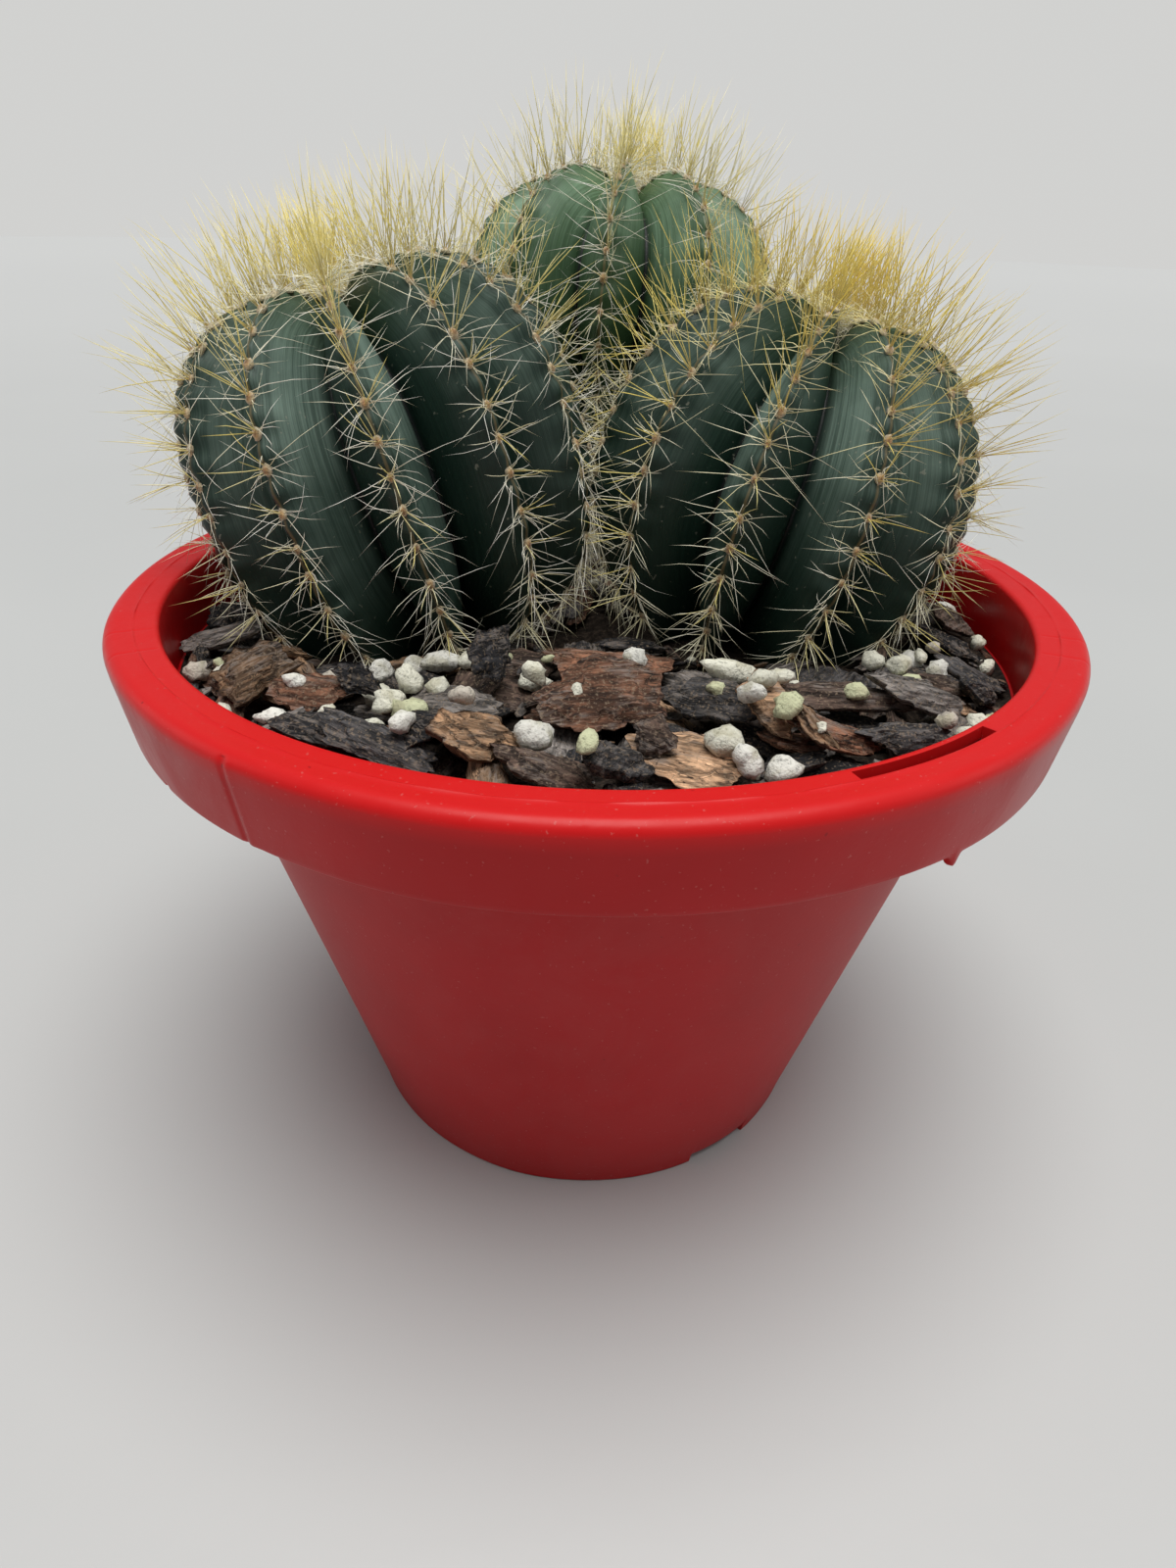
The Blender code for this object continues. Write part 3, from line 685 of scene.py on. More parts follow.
def areoleFrames(head):
    # For every areole above the mulch: its place, the way out of the crest, the way down along it, and the
    # side
    latitudes = areoleLatitudes(head)[0]
    latitude, rib = np.meshgrid(latitudes, np.arange(head["ribs"]), indexing="ij")
    latitude, rib = latitude.ravel(), rib.ravel().astype(float)
    latitude = latitude + rng.normal(0, 0.008, latitude.shape)
    place = headPoints(head, latitude, rib)
    down = unit(headPoints(head, latitude - 0.02, rib) - headPoints(head, latitude + 0.02, rib))
    axes = headFrame(head)
    angle = np.radians(head["turn"]) + rib * 2 * np.pi / head["ribs"]
    side = np.cos(angle)[:, None] * axes[1] - np.sin(angle)[:, None] * axes[0]
    out = unit(np.cross(down, side))
    seen = place[:, 2] > soilHigh[2] + clear["aboveMulch"]
    return {"place": place[seen], "out": out[seen], "down": down[seen], "side": side[seen],
            "up": np.sin(latitude[seen]), "crown": np.exp(-(np.pi / 2 - latitude[seen]) / 0.55)}


def insideHead(head, points):
    # Level of a head's rounded outline at each point: 1 on the crests, less inside
    local = (points - np.array(head["centre"])) @ headFrame(head).T
    r = np.hypot(local[..., 0], local[..., 1]) / head["radius"]
    h = np.where(local[..., 2] < 0, local[..., 2] / (head["halfHeight"] + 0.6 * head["stem"]),
                 local[..., 2] / head["halfHeight"])
    power = 2 / head["fullness"]
    return (r ** power + np.abs(h) ** power) ** (1 / power)


def freeShare(name, root, way, length):
    # The share of each spine's length that stays out of the other heads, the pot's wall and the mulch
    t = np.linspace(0.15, 1.0, 12)
    points = root[:, None] + way[:, None] * (length[:, None] * t)[..., None]
    r = np.hypot(points[..., 0], points[..., 1])
    z = points[..., 2]
    blocked = z < soilHigh[2] + clear["mulch"]
    inWall = (r > pot["mouthRadius"] - clear["wall"]) & (r < pot["rimRadius"] + clear["rim"])
    blocked |= inWall & (z < pot["height"] + clear["rimTop"])
    for other, head in heads.items():
        if other != name:
            blocked |= insideHead(head, points) < clear["head"]
    first = np.where(blocked.any(1), blocked.argmax(1), len(t))
    return np.concatenate([[0.0], t])[first]


def spineMesh(name, root, way, bend, length, radius, tone, finish):
    # Thin three-sided needles: root + way * t + bend * t^2 times the length, with the radius falling to a
    # point
    count = len(root)
    t = np.array([0.0, 0.35, 0.7])
    path = way[:, None] * t[:, None] + bend[:, None] * t[:, None] ** 2
    centre = root[:, None] + path * length[:, None, None]
    tip = root + (way + bend) * length[:, None]
    one = unit(np.cross(way, [0.31, 0.52, 0.79]))
    two = np.cross(way, one)
    a = np.radians([0, 120, 240])
    ring = one[:, None] * np.cos(a)[:, None] + two[:, None] * np.sin(a)[:, None]
    width = radius[:, None] * (1 - 0.4 * t)
    rings = centre[:, :, None] + ring[:, None] * width[..., None, None]
    points = np.concatenate([rings.reshape(count, 9, 3), tip[:, None]], 1).reshape(-1, 3)
    along = np.concatenate([np.repeat(t, 3), [1.0]])
    uv = np.stack(np.broadcast_arrays(tone[:, None], along), -1).reshape(-1, 2)
    sides = copies(gridQuads(3, 3), count, 10)
    point = copies(np.array([[6, 7, 9], [7, 8, 9], [8, 6, 9], [2, 1, 0]]), count, 10)
    return makePiece(name, points, [sides, point], finish, uv)


def growSpines(name, head, kind, frames, finish):
    # Radials comb out to both sides of the rib close to the skin, more and more downwards lower on the head;
    # centrals stand out stiffly, lean up near the crown and are fewer and shorter below
    make = spines[kind]
    many = len(frames["place"]) * make["count"]
    pick = np.repeat(np.arange(len(frames["place"])), make["count"])
    out, down, side = frames["out"][pick], frames["down"][pick], frames["side"][pick]
    up, crown = frames["up"][pick], frames["crown"][pick]
    low = smoothStep((0.45 - up) / 1.1)[:, None]
    share = rng.uniform(0, 1, many)
    length = make["length"][0] + (make["length"][1] - make["length"][0]) * share
    if kind == "radial":
        order = np.tile((np.arange(make["count"]) + 0.5) / make["count"], len(frames["place"]))
        angle = make["nearest"] + make["fan"] * np.abs(2 * order - 1) - make["sweep"] * low[:, 0]
        swing = np.sign(order - 0.5) * np.radians(angle) + rng.normal(0, make["stray"], many)
        rise = np.radians(rng.uniform(*make["rise"], many))
        way = np.cos(rise)[:, None] * (np.cos(swing)[:, None] * down + np.sin(swing)[:, None] * side)
        way = unit(way + np.sin(rise)[:, None] * out)
        length = length * (0.82 + 0.22 * np.abs(np.sin(swing))) * (1 - 0.2 * crown)
        tone = 0.01 + 0.4 * head["gold"] * (0.35 + 0.65 * np.maximum(up, 0)) + rng.normal(0, 0.07, many)
        bend = rng.normal(0, make["bend"], (many, 3)) + 0.42 * low * down - 0.12 * out
    else:
        axis = headFrame(head)[2]
        way = unit(out + axis * (0.15 + 0.45 * np.maximum(up, 0))[:, None] + 0.22 * low * down
                   + rng.normal(0, make["stray"], (many, 3)))
        length = length * (0.62 + 0.38 * smoothStep((up - 0.15) / 0.5))
        tone = 0.26 + 0.58 * head["gold"] * (0.45 + 0.55 * up) + rng.normal(0, 0.09, many)
        bend = rng.normal(0, make["bend"], (many, 3)) - np.array([0, 0, 0.03])
    jitter = rng.normal(0, 0.3, (many, 3))
    slide = rng.normal(0, 0.9, many)[:, None] * down * (kind == "radial")  # spreads radials along the crest
    root = frames["place"][pick] - 0.15 * out + jitter + slide
    free = freeShare(name, root, way, length)
    thinned = 0.45 * crown if kind == "radial" else 0.45 * (1 - smoothStep((up - 0.1) / 0.5))
    good = (free > 0.3) & (rng.uniform(0, 1, many) > thinned)
    length = (length * free)[good]
    radius = make["radius"] * rng.uniform(0.75, 1.15, many)[good]
    made = spineMesh(f"{name}{kind.capitalize()}Spines", root[good], way[good], bend[good], length, radius,
                     np.clip(tone, 0, 1)[good], finish)
    settle(made, "spines", f"spines_{name}")


def growAreoles(name, frames, finish):
    # One low woolly dome for each areole: rings of a half ellipsoid, set in the crest; pale and fuller at
    # the crown
    count = len(frames["place"])
    rings, around = 4, 9
    lift = np.radians(np.linspace(-20, 70, rings))[:, None]
    a = np.linspace(0, 2 * np.pi, around, endpoint=False)[None, :]
    shape = np.stack([np.cos(lift) * np.cos(a), np.cos(lift) * np.sin(a),
                      np.broadcast_to(np.sin(lift), (rings, around))], -1)
    shape = np.concatenate([shape.reshape(-1, 3), [[0, 0, 1.05], [0, 0, -0.4]]])
    size = rng.uniform(0.8, 1.15, (count, 1, 1)) * (1 + 0.25 * frames["crown"])[:, None, None]
    rough = 1 + rng.normal(0, 0.09, (count, len(shape), 1))
    grown = shape[None] * size * rough * np.array([woolPad["long"], woolPad["wide"], woolPad["high"]])
    points = frames["place"][:, None] + grown[..., :1] * frames["down"][:, None]
    points = points + grown[..., 1:2] * frames["side"][:, None] + grown[..., 2:] * frames["out"][:, None]
    stride = len(shape)
    middle = 1 - np.hypot(shape[:, 0], shape[:, 1])
    fresh = np.broadcast_to(frames["crown"][:, None], (count, stride))
    uv = np.stack([np.broadcast_to(middle, (count, stride)), fresh], -1).reshape(-1, 2)
    faces = closedRings(rings, around, count)
    settle(makePiece(f"{name}Areoles", points.reshape(-1, 3), faces, finish, uv), "spines")


def growWool(name, head, finish):
    # Short curly cream hairs that fill the sunken crown
    count = crownWool["count"]
    axes = headFrame(head)
    a = rng.uniform(0, 2 * np.pi, count)
    r = crownWool["reach"] * np.sqrt(rng.uniform(0, 1, count))
    latitude = np.interp(r, *[v[::-1] for v in crestTable(head)])
    root = headPoints(head, latitude, a / (2 * np.pi) * head["ribs"])
    way = unit(axes[2] + 0.8 * rng.normal(0, 0.6, (count, 3)))
    bend = rng.normal(0, 0.5, (count, 3))
    length = rng.uniform(*crownWool["length"], count)
    radius, tone = np.full(count, crownWool["radius"]), rng.uniform(0, 0.15, count)
    settle(spineMesh(f"{name}CrownWool", root, way, bend, length, radius, tone, finish), "spines")


def crestTable(head):
    # crest radius against latitude over the crown, both falling
    latitude = np.radians(np.linspace(40, 90, 80))
    return crestOutline(head, latitude)[0], latitude


def spineMaterial():
    # Horny needles: cream to golden by their own tone, golden brown at the root and a little brown at the
    #     # tip, with a faint painted glow from emission that stands for light shining through them
    # painted glow: a faint pale-gold emission stands for light passing through the thin needles
    made, tree, shader = newMaterial("spineHorn", 0.42, Specular_IOR_Level=0.4, Emission_Strength=0.06,
                                     Emission_Color=(0.95, 0.86, 0.55, 1))
    place = split(tree, coords(tree, "UV"))
    tone, along = place["X"], place["Y"]
    body = ramp(tree, tone, [(0.0, (0.98, 0.97, 0.91)), (0.22, (0.95, 0.91, 0.66)),
                             (0.5, (0.88, 0.75, 0.22)), (1.0, (0.78, 0.56, 0.03))])
    flecks = ramp(tree, noise(tree, coords(tree), 260.0, 2), [(0.4, 0.84), (0.6, 1.06)])
    body = shade(tree, body, flecks)
    gold = ramp(tree, along, [(0.02, 1.0), (0.32, 0.0)])
    body = mix(tree, times(tree, gold, 0.35), body, (0.8, 0.58, 0.14))
    root = ramp(tree, along, [(0.0, 1.0), (0.07, 0.0)])
    body = mix(tree, times(tree, root, 0.55), body, (0.44, 0.2, 0.05))
    tip = ramp(tree, along, [(0.8, 0.0), (1.0, 1.0)])
    tip = times(tree, tip, ramp(tree, tone, [(0.25, 0.05), (0.8, 0.4)]))
    paint(tree, shader, mix(tree, tip, body, (0.5, 0.3, 0.08)))
    return made


def woolMaterial():
    # Felted wool: cream near the crown, further down beige round a brown heart
    made, tree, shader = newMaterial("areoleWool", 0.95, Sheen_Weight=0.5, Sheen_Roughness=0.6)
    place = split(tree, coords(tree, "UV"))
    old = ramp(tree, place["X"], [(0.1, (0.56, 0.45, 0.27)), (0.5, (0.5, 0.31, 0.13)),
                                          (0.95, (0.36, 0.17, 0.06))])
    tone = mix(tree, ramp(tree, place["Y"], [(0.25, 0.0), (0.7, 1.0)]), old, (0.8, 0.72, 0.48))
    at = coords(tree)
    fuzz = ramp(tree, noise(tree, at, 1600.0, 3), [(0.38, 0.65), (0.62, 1.2)])
    paint(tree, shader, shade(tree, tone, fuzz))
    relief(tree, shader, noise(tree, at, 2200.0, 3), 0.9, 0.4)
    return made


# ---- the mulch

mulch = {"soilLevel": 110.6, "wall": 88.2, "cell": 0.8, "plates": 100, "crumbs": 420, "grains": 60,
         "plateLength": (11.0, 23.0), "crumbLength": (2.4, 7.0), "grainSize": (1.8, 4.6),
         "featureGrain": 0.76, "featureChip": 0.9, "settle": 0.35, "tries": 14, "overlap": 0.04,
         "stemEdge": 0.9, "maxSlope": 0.45, "stemLevels": (113.0, 119.0),
         "plug": [(88.2, 110.8), (81.3, 107.6), (52.8, 8.6), (49.4, 5.3)]}
# points round the outline, rings on the upper face, layers that flake off, and seed
plateShapes = {"topPlates": (56, 12, 4, 12), "lowerPlates": (36, 9, 3, 13), "barkCrumbs": (8, 2, 1, 14)}
barkTones = {"charcoal": (0.014, 0.014, 0.016), "slate": (0.06, 0.057, 0.058), "grey": (0.15, 0.135, 0.125),
             "brown": (0.065, 0.042, 0.032), "rust": (0.125, 0.058, 0.034), "ochre": (0.175, 0.105, 0.06),
             "tan": (0.38, 0.235, 0.14)}
featureChips = [
    # x, y, length, width, thickness, turn in degrees, lean in degrees, tone: the plates that show most
    (1, -47, 29, 25, 3.2, 12, 12, "rust"), (3, -27, 30, 18, 2.6, -8, -6, "rust"),
    (-25, -47, 23, 17, 2.4, -25, 8, "grey"), (-65, -39, 19, 15, 4.5, 30, 10, "ochre"),
    (-51, -45, 20, 15, 2.8, -20, 14, "rust"), (-48, -60, 25, 10, 3.4, -32, 10, "charcoal"),
    (-35, -67, 26, 11, 2.6, -22, 16, "slate"), (-28, -62, 19, 14, 3.2, -40, 18, "charcoal"),
    (-18, -66, 22, 14, 4.4, 22, 14, "ochre"), (-7, -71, 20, 12, 3.4, 8, 12, "brown"),
    (4, -71, 14, 13, 5.0, 70, 24, "slate"), (17, -67, 26, 16, 2.2, -18, 16, "tan"),
    (22, -46, 26, 13, 4.6, -35, 12, "slate"), (31, -53, 16, 14, 3.0, 30, 16, "tan"),
    (32, -34, 19, 14, 4.2, -10, 8, "brown"), (46, -43, 33, 12, 3.0, 8, 10, "brown"),
    (61, -42, 25, 15, 3.4, 18, 12, "grey"), (41, -57, 22, 10, 3.0, 12, 20, "rust"),
    (37, -60, 14, 5, 2.4, -52, 8, "ochre"), (55, -54, 22, 8, 2.6, 24, 12, "slate"),
    (77, -20, 27, 18, 3.0, -28, 14, "grey"), (67, -29, 16, 8, 2.6, -30, 6, "brown"),
    (74, -33, 15, 10, 3.4, 38, 14, "charcoal"), (80, 6, 20, 14, 2.8, 60, 12, "brown"),
    (-79, -14, 20, 9, 3.0, 10, 8, "grey"), (-80, -2, 18, 11, 4.6, 80, 10, "charcoal"),
]
uprightChips = [(-19, -38, 19, 13, 2.6, 65, 62, "charcoal"), (-43, -46, 11, 8, 2.4, 20, 48, "charcoal"),
                (10, -66, 10, 8, 2.6, -30, 40, "brown")]
featureGrains = [
    # x, y, size, and how much longer than wide
    (-79, -29, 6.4, 1.2), (-73, -32, 4.2, 1.1), (-68, -47, 4.4, 1.2), (-41, -39, 8.2, 1.3),
    (-35, -40, 7.2, 1.1), (-38, -46, 7.0, 1.2), (-33, -50, 8.0, 1.2), (-29, -43, 5.6, 1.1),
    (-30, -31, 7.6, 1.7), (-25, -32, 5.2, 1.1), (-35, -31, 5.6, 1.0), (-42, -31, 6.2, 1.2),
    (-12, -34, 6.8, 1.3), (-11, -45, 6.6, 1.3), (-14, -54, 5.6, 1.1), (-22, -62, 6.0, 1.2),
    (-10, -64, 8.8, 1.1), (-39, -54, 5.2, 1.0), (-58, -51, 6.2, 1.8), (-66, -27, 6.6, 1.1),
    (-51, -34, 6.0, 1.1), (8, -27, 6.2, 1.1), (24, -41, 8.8, 2.9), (22, -57, 6.4, 1.3), (20, -60, 4.6, 1.0),
    (22, -66, 8.8, 1.2), (25, -70, 6.2, 1.1), (33, -58, 7.0, 1.1), (32, -66, 8.0, 1.0), (55, -26, 6.2, 1.1),
    (60, -27, 6.4, 1.1), (60, -33, 9.2, 1.4), (66, -16, 5.6, 1.1), (84, -2, 5.2, 1.2), (84, -9, 5.4, 1.0),
    (76, -38, 5.6, 1.1), (72, -43, 6.2, 1.2), (68, -49, 6.4, 1.2), (82, 18, 5.6, 1.1), (27, -64, 5.4, 1.0),
]


def mulchGround():
    # Height of the fill on square cells: gently lumpy, a little higher round the stems, and out of reach
    # (very high) where a stem or the pot's wall stands
    side = np.arange(-mulch["wall"], mulch["wall"] + 0.1, mulch["cell"])
    x, y = np.meshgrid(side, side, indexing="ij")
    flat = np.stack([x, y, np.zeros_like(x)], -1)
    height = mulch["soilLevel"] + 0.8 * lumps(flat, 26.0, 3) + 0.4 * lumps(flat, 9.0, 4)
    shut = np.hypot(x, y) > mulch["wall"]
    for head in heads.values():
        low, high = (insideHead(head, np.stack([x, y, np.full_like(x, level)], -1))
                     for level in mulch["stemLevels"])
        shut |= np.minimum(low, high) < mulch["stemEdge"]
    return {"x": x, "y": y, "height": height, "shut": shut}


def restOn(ground, x, y, long, wide, turn):
    # Settles a flat footprint on the ground so far: height and slope of the cells that it covers, by least
    # squares
    c, s = np.cos(turn), np.sin(turn)
    u = (ground["x"] - x) * c + (ground["y"] - y) * s
    v = -(ground["x"] - x) * s + (ground["y"] - y) * c
    under = (u / (long / 2)) ** 2 + (v / (wide / 2)) ** 2 < 1
    if under.sum() < 3:
        return None
    blocked = (under & ground["shut"]).sum() / under.sum()
    z = ground["height"][under]
    fit = np.linalg.lstsq(np.stack([u[under], v[under], np.ones(len(z))], -1), z, rcond=None)[0]
    over = np.maximum(z - (u[under] * fit[0] + v[under] * fit[1] + fit[2]), 0).max()
    level = fit[2] + mulch["settle"] * over
    return {"under": under, "u": u, "v": v, "blocked": blocked, "slope": fit[:2], "level": level}


def layChip(ground, x, y, long, wide, thick, turn, lean, tone):
    # Lays one plate on the fill, tilted by the fill's slope and its own lean, and raises the fill to its top;
    # nothing where too much of it would stand in a stem or the wall
    rest = restOn(ground, x, y, long, wide, turn)
    if rest is None or rest["blocked"] > mulch["overlap"]:
        return None
    slope = np.clip(rest["slope"], -mulch["maxSlope"], mulch["maxSlope"]) + np.array([0.0, np.tan(lean)])
    rise = abs(np.tan(lean)) * wide * 0.22
    middle = rest["level"] + thick * 0.5 + rise
    across = np.array([np.cos(turn), np.sin(turn), slope[0]])
    ahead = np.array([-np.sin(turn), np.cos(turn), slope[1]])
    normal = unit(np.cross(across, ahead))
    across = unit(across)
    under = rest["under"]
    top = middle + thick * 0.4 + slope[0] * rest["u"] + slope[1] * rest["v"]
    ground["height"][under] = np.maximum(ground["height"][under], top[under])
    return {"place": np.array([x, y, middle]), "axes": np.array([across, np.cross(normal, across), normal]),
            "size": (long, wide, thick), "tone": tone}


def scatter(ground, count, lengths, seed):
    # Random plates, larger ones first, each where the fill is lowest of a few tries
    own = np.random.default_rng(seed)
    laid = []
    names = list(barkTones)
    odds = np.array([0.27, 0.17, 0.13, 0.2, 0.13, 0.06, 0.04])
    for long in np.sort(own.uniform(*lengths, count))[::-1]:
        tries = []
        for _ in range(mulch["tries"]):
            a, r = own.uniform(0, 2 * np.pi), (mulch["wall"] - long * 0.45) * np.sqrt(own.uniform(0.02, 1))
            x, y, turn = r * np.cos(a), r * np.sin(a), own.uniform(0, np.pi)
            rest = restOn(ground, x, y, long, long * 0.6, turn)
            if rest is not None and rest["blocked"] < mulch["overlap"]:
                tries.append((rest["level"], x, y, turn))
        if tries:
            x, y, turn = min(tries)[1:]
            wide, thick = long * own.uniform(0.45, 0.8), long * own.uniform(0.09, 0.2)
            lean, tone = np.radians(own.normal(0, 9)), own.choice(names, p=odds)
            chip = layChip(ground, x, y, long, wide, thick, turn, lean, tone)
            if chip:
                laid.append(chip)
    return laid


def chipMesh(name, chips, finish, around, rings, layers, seed):
    # Broken plates. Outline: in each direction the nearest of several straight fracture lines, roughened.
    # Upper face: rings from the middle to the outline that step down wherever a layer has flaked off, and
    # the steps wander; the under face is plain. The whole plate curls across its width
    own = np.random.default_rng(seed)
    place, axes = (np.array([chip[key] for chip in chips]) for key in ("place", "axes"))
    size = np.array([chip["size"] for chip in chips], float)
    tone = np.array([barkTones[chip["tone"]] for chip in chips]) * own.uniform(0.65, 1.35, (len(chips), 1))
    count = len(chips)
    a = np.linspace(0, 2 * np.pi, around, endpoint=False)
    breaks = np.arange(6) * 2 * np.pi / 6 + own.uniform(-0.5, 0.5, (count, 6))
    far = own.uniform(0.66, 1.0, (count, 6))
    toward = np.cos(a[None, :, None] - breaks[:, None])
    outline = np.where(toward > 0.2, far[:, None] / np.maximum(toward, 0.2), 9).min(-1)
    waves = own.uniform(0, 2 * np.pi, (count, 1, 4))
    ragged = 1 + 0.03 * np.sin([5, 9, 14, 23] * a[None, :, None] + waves).sum(-1)
    outline = np.minimum(outline, 1.12) * ragged
    inner = np.linspace(0, 1, rings + 1)[1:] ** 0.72
    share = np.concatenate([inner, [1.0], inner[::-1]])
    x = share[None, :, None] * (outline * np.cos(a))[:, None] * size[:, 0, None, None] / 2
    y = share[None, :, None] * (outline * np.sin(a))[:, None] * size[:, 1, None, None] / 2
    start = own.uniform(0, 400, (count, 1, 1, 3))
    flat = np.stack([x, y, np.zeros_like(x)], -1) + start
    thick = size[:, 2, None, None]
    drop = 0
    for layer in range(layers):
        reach = 0.95 - (layer + own.uniform(-0.3, 0.6, (count, 1))) * 0.55 / layers
        phase = own.uniform(0, 2 * np.pi, (count, 1, 3))
        edge = reach + 0.06 * np.sin([2, 3, 7] * a[None, :, None] + phase).sum(-1)
        drop = drop + smoothStep((share[None, :rings, None] - edge[:, None]) / 0.07) * own.uniform(0.4, 1.0)
    z = np.zeros_like(x)
    z[:, :rings] = 0.5 - drop * 0.75 / layers
    z[:, rings + 1:] = -0.5 + 0.5 * share[None, rings + 1:, None] ** 8
    z = z * thick + 0.1 * thick * lumps(flat * np.array([0.4, 1.5, 1]), 6.0, seed + 1)
    curl = own.uniform(-0.3, 0.2, (count, 1, 1)) * size[:, 1, None, None]
    z = z + curl * ((2 * y / size[:, 1, None, None]) ** 2 - 0.3) * 0.5
    pull = 1 + 0.05 * lumps(flat, 3.5, seed + 3)
    local = np.stack([x * pull, y * pull, z], -1).reshape(count, -1, 3)
    ends = np.stack([local[:, :around].mean(1), local[:, -around:].mean(1)], 1)
    local = np.concatenate([local, ends], 1)
    stride, ringCount = local.shape[1], 2 * rings + 1
    points = place[:, None] + np.einsum("nvk,nkj->nvj", local, axes)
    quads = copies(gridQuads(ringCount, around)[:, ::-1], count, stride)
    caps = np.concatenate([fanTriangles(stride - 2, np.arange(around)),
                           fanTriangles(stride - 1, (ringCount - 1) * around + np.arange(around), True)])
    tint = np.repeat(tone[:, None], stride, 1).reshape(-1, 3)
    made = makePiece(name, points.reshape(-1, 3), [quads, copies(caps, count, stride)], finish, None, tint,
                     (local + start[:, 0]).reshape(-1, 3))
    made.data.set_sharp_from_angle(angle=np.radians(40))
    return made


def layGrains(ground, seed):
    # The placed grains and then random ones, each sunk a little into the fill and turned at random
    own = np.random.default_rng(seed)
    wanted = [(x, y, size * mulch["featureGrain"], ratio) for x, y, size, ratio in featureGrains]
    for _ in range(mulch["grains"]):
        a, r = own.uniform(0, 2 * np.pi), (mulch["wall"] - 3) * np.sqrt(own.uniform(0.02, 1))
        wanted.append((r * np.cos(a), r * np.sin(a), own.uniform(*mulch["grainSize"]), own.uniform(1, 1.5)))
    laid = []
    for x, y, size, ratio in wanted:
        rest = restOn(ground, x, y, max(size, 2.4), max(size, 2.4), 0.0)
        if rest is None or rest["blocked"] > 0.25:
            continue
        middle = np.median(ground["height"][rest["under"]]) + size * 0.22
        ground["height"][rest["under"]] = middle + size * 0.3
        turn = own.uniform(0, np.pi)
        across = unit(np.array([np.cos(turn), np.sin(turn), own.normal(0, 0.3)]))
        normal = unit(np.array([0, 0, 1.0]) - across * across[2])
        axes = np.array([across, np.cross(normal, across), normal])
        laid.append((np.array([x, y, middle]), axes, size, ratio))
    return laid


def grainMesh(grains, finish, seed):
    # Popped stone crumbs: a ball of rings whose radius is pushed in and out by broad and fine lumps
    own = np.random.default_rng(seed)
    count, rings, around = len(grains), 7, 11
    tilt = np.radians(np.linspace(-74, 74, rings))[:, None]
    a = np.linspace(0, 2 * np.pi, around, endpoint=False)[None, :]
    ball = np.stack([np.cos(tilt) * np.cos(a), np.cos(tilt) * np.sin(a),
                     np.broadcast_to(np.sin(tilt), (rings, around))], -1)
    ball = np.concatenate([ball.reshape(-1, 3), [[0, 0, 1], [0, 0, -1]]])
    place, axes = (np.array([grain[k] for grain in grains]) for k in (0, 1))
    size, ratio = (np.array([grain[k] for grain in grains], float) for k in (2, 3))
    offset = own.uniform(0, 90, (count, 1, 3))
    swell = 1 + 0.3 * lumps(ball + offset, 2.0, seed + 1) + 0.16 * lumps(ball + offset, 0.9, seed + 2)
    width = np.stack([ratio ** 0.6, ratio ** -0.4, 0.8 * ratio ** -0.3], -1) * size[:, None] / 2
    local = ball[None] * swell[..., None] * width[:, None]
    points = place[:, None] + np.einsum("nvk,nkj->nvj", local, axes)
    kinds = np.array([(0.76, 0.75, 0.63), (0.82, 0.81, 0.74), (0.6, 0.62, 0.4), (0.58, 0.53, 0.45)])
    tint = kinds[own.choice(4, count, p=[0.42, 0.3, 0.16, 0.12])] * own.uniform(0.85, 1.06, (count, 1))
    tint = np.repeat(tint[:, None], len(ball), 1).reshape(-1, 3)
    faces = closedRings(rings, around, count)
    place = (local + offset).reshape(-1, 3)
    return makePiece("perliteGrains", points.reshape(-1, 3), faces, finish, None, tint, place)


def makeSoil(finish):
    # The mix under the mulch: a plug that fills the pot, with the crumbly height field on top
    rings, around = 70, 200
    r = mulch["wall"] * np.linspace(0, 1, rings + 1)[1:] ** 0.85
    a = np.linspace(0, 2 * np.pi, around, endpoint=False)
    x, y = r[:, None] * np.cos(a), r[:, None] * np.sin(a)
    flat = np.stack([x, y, np.zeros_like(x)], -1)
    z = mulch["soilLevel"] - 0.6 + 0.8 * lumps(flat, 26.0, 3) + 0.4 * lumps(flat, 9.0, 4)
    z = z + 0.35 * lumps(flat, 3.1, 5) + 0.22 * lumps(flat, 1.7, 6)
    radius, level = np.array(mulch["plug"]).T[..., None]
    wall = np.stack([radius * np.cos(a), radius * np.sin(a), np.repeat(level, around, 1)], -1)
    grid = np.concatenate([np.stack([x, y, z], -1), wall])
    rows = len(grid)
    points = np.concatenate([grid.reshape(-1, 3), [[0, 0, mulch["soilLevel"]], [0, 0, mulch["plug"][-1][1]]]])
    faces = [gridQuads(rows, around)[:, ::-1], fanTriangles(rows * around, np.arange(around)),
             fanTriangles(rows * around + 1, (rows - 1) * around + np.arange(around), True)]
    settle(makePiece("pottingMix", points, faces, finish), "potting_mix", "soil")


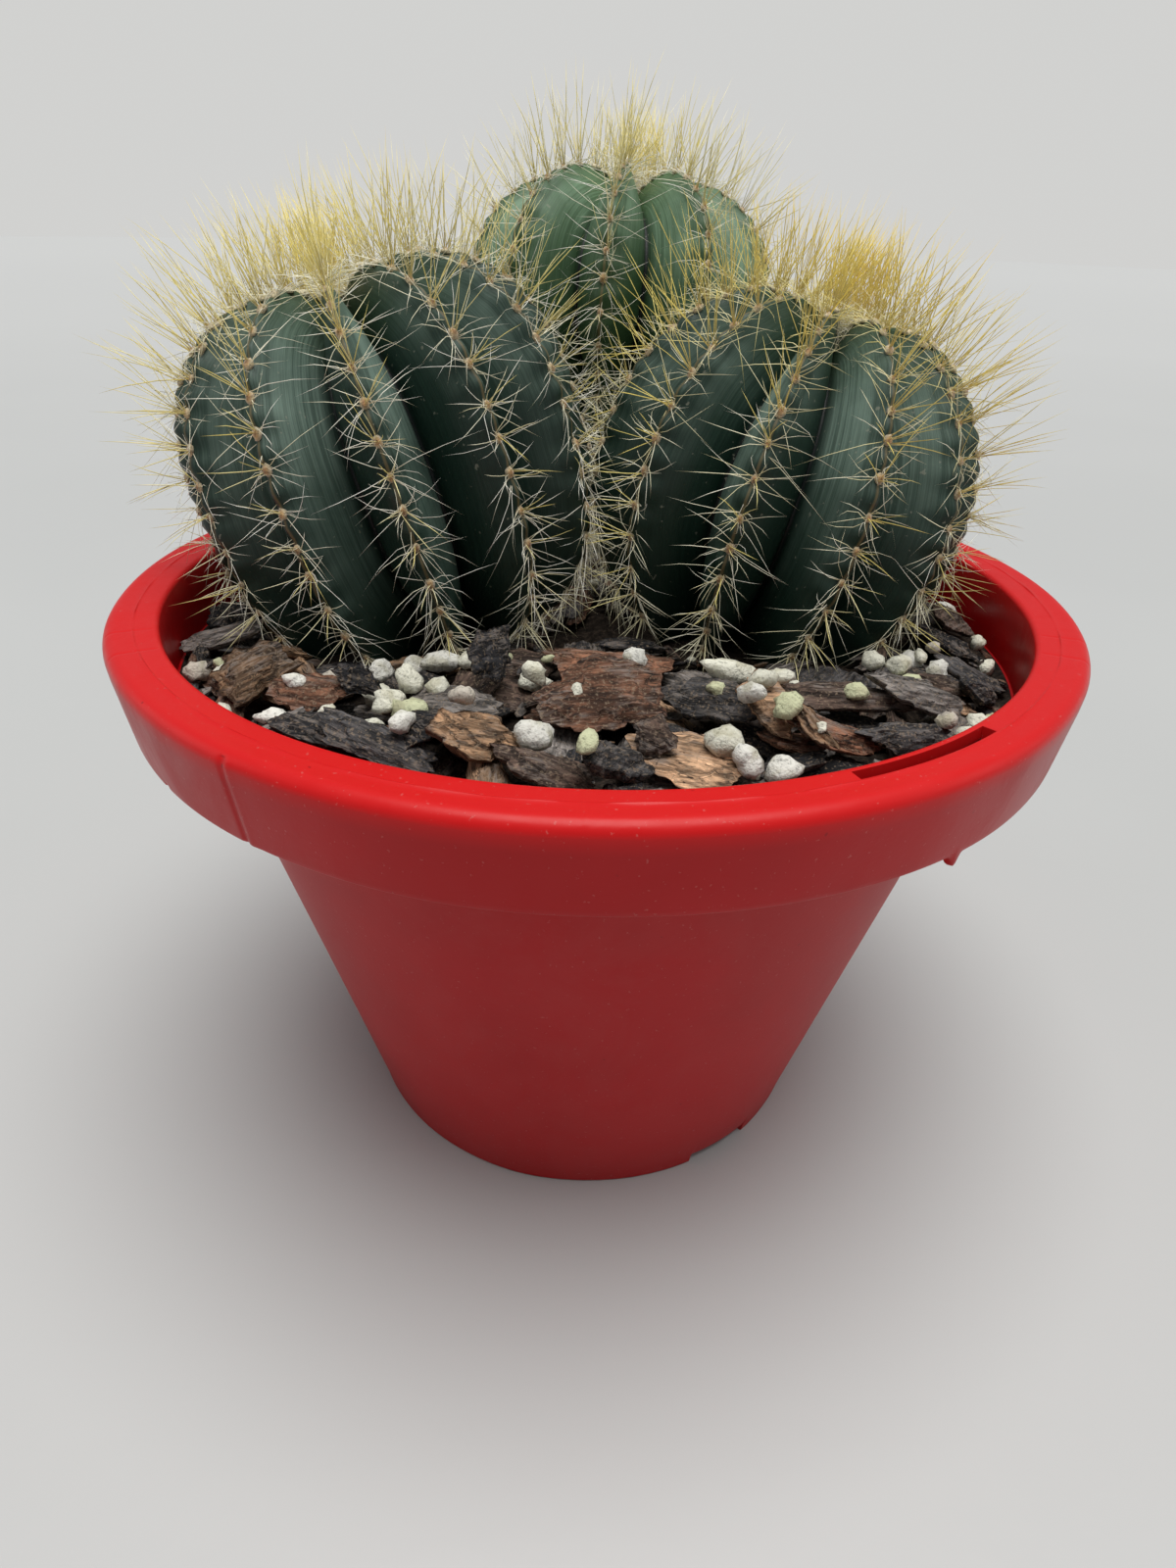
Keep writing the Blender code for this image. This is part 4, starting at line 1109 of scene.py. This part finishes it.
def barkMaterial():
    # Dry conifer bark: each plate's own tone, thin layers that show as lines at broken edges, a painted grey
    # highlight
    #     # along the fibrous ridges, sandy speckle and dark cracks
    made, tree, shader = newMaterial("coniferBark", 0.86, Specular_IOR_Level=0.3)
    own = add(tree, "Attribute", {}, attribute_name="tint").outputs["Color"]
    layer = noise(tree, coords(tree, "place", (0.1, 0.14, 2.6)), 1.0, 3, 0.6, 0.3)
    fibre = noise(tree, coords(tree, "place", (0.2, 1.3, 0.7)), 1.0, 5, 0.65, 0.6)
    broad = noise(tree, coords(tree, "place", (0.13, 0.2, 0.3)), 1.0, 3, 0.6)
    tone = shade(tree, own, ramp(tree, layer, [(0.4, 0.4), (0.5, 1.0), (0.6, 1.7)]))
    tone = shade(tree, tone, ramp(tree, fibre, [(0.38, 0.5), (0.5, 1.0), (0.62, 1.6)]))
    # painted highlight: grey laid along the tops of the fibrous ridges, in broad patches
    ridgeHighlight = times(tree, ramp(tree, broad, [(0.46, 0.0), (0.6, 0.75)]),
                 ramp(tree, fibre, [(0.46, 0.0), (0.58, 1.0)]))
    tone = mix(tree, ridgeHighlight, tone, (0.19, 0.165, 0.148))
    at = coords(tree)
    sand = ramp(tree, noise(tree, at, 1500.0, 2, 0.6), [(0.55, 0.0), (0.66, 0.5)])
    tone = mix(tree, sand, tone, (0.3, 0.225, 0.155))
    crack = ramp(tree, noise(tree, coords(tree, "place", (0.35, 1.2, 1.0)), 1.0, 4, 0.6, 1.2),
                 [(0.34, 0.9), (0.42, 0.0)])
    tone = mix(tree, crack, tone, (0.006, 0.005, 0.005))
    paint(tree, shader, tone)
    ridges = mix(tree, 0.5, fibre, layer)
    relief(tree, shader, mix(tree, 0.25, ridges, noise(tree, at, 1100.0, 3)), 1.0, 1.1)
    return made


def perliteMaterial():
    # Expanded stone: chalky, pitted, each grain's own tint, stained here and there; the pits are darkened
    # with painted shade
    made, tree, shader = newMaterial("perlite", 0.85, Specular_IOR_Level=0.3)
    own = add(tree, "Attribute", {}, attribute_name="tint").outputs["Color"]
    at = coords(tree)
    pitsAndPaintedShade = noise(tree, at, 1100.0, 4, 0.65)
    # painted shade: the grain's tint is darkened in its pits
    tone = shade(tree, own, ramp(tree, pitsAndPaintedShade, [(0.34, 0.5), (0.44, 1.0), (0.65, 1.08)]))
    stain = ramp(tree, noise(tree, at, 240.0, 3), [(0.52, 0.0), (0.64, 0.5)])
    tone = mix(tree, stain, tone, (0.38, 0.35, 0.22))
    paint(tree, shader, tone)
    relief(tree, shader, mix(tree, 0.5, pitsAndPaintedShade, noise(tree, at, 520.0, 3)), 1.0, 1.0)
    return made


def soilMaterial():
    # dark crumbs of three tones
    made, tree, shader = newMaterial("darkMix", 0.95, Specular_IOR_Level=0.2)
    at = coords(tree)
    crumbs = noise(tree, at, 700.0, 5, 0.7)
    tone = ramp(tree, crumbs, [(0.32, (0.006, 0.005, 0.004)), (0.52, (0.032, 0.023, 0.017)),
                               (0.72, (0.1, 0.075, 0.055))])
    paint(tree, shader, tone)
    relief(tree, shader, crumbs, 1.0, 1.2)
    return made


def makeMulch():
    # Laid from the bottom up: lower plates, crumbs, the plates that show, more crumbs, then grains
    ground = mulchGround()
    bark = barkMaterial()
    under = scatter(ground, mulch["plates"], mulch["plateLength"], 5)
    small = scatter(ground, mulch["crumbs"] // 2, mulch["crumbLength"], 6)
    chips = []
    for x, y, long, wide, thick, turn, lean, tone in featureChips + uprightChips:
        chip = layChip(ground, x, y, long * mulch["featureChip"], wide * mulch["featureChip"], thick * 0.9,
                       np.radians(turn), np.radians(lean), tone)
        if chip:
            chips.append(chip)
    small += scatter(ground, mulch["crumbs"] // 2, mulch["crumbLength"], 9)
    grains = layGrains(ground, 8)
    chipNodes = sorted(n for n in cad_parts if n.startswith("bark_chip_"))
    grainNodes = sorted(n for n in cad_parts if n.startswith("perlite_"))
    layers = (("topPlates", chips, chipNodes), ("lowerPlates", under, []), ("barkCrumbs", small, []))
    for name, laid, nodes in layers:
        settle(chipMesh(name, laid, bark, *plateShapes[name]), "bark", *nodes)
    settle(grainMesh(grains, perliteMaterial(), 21), "perlite", *grainNodes)
    makeSoil(soilMaterial())


# ---- everything together

makeCamera()
makeFloor()
makeLights()
print("view, floor and light ready")
makePot()
for headName, headShape in heads.items():
    makeHead(headName, headShape)
hornFinish, woolFinish = spineMaterial(), woolMaterial()
for headName, headShape in heads.items():
    headAreoles = areoleFrames(headShape)
    growAreoles(headName, headAreoles, woolFinish)
    growWool(headName, headShape, hornFinish)
    for spineKind in spines:
        growSpines(headName, headShape, spineKind, headAreoles, hornFinish)
makeMulch()
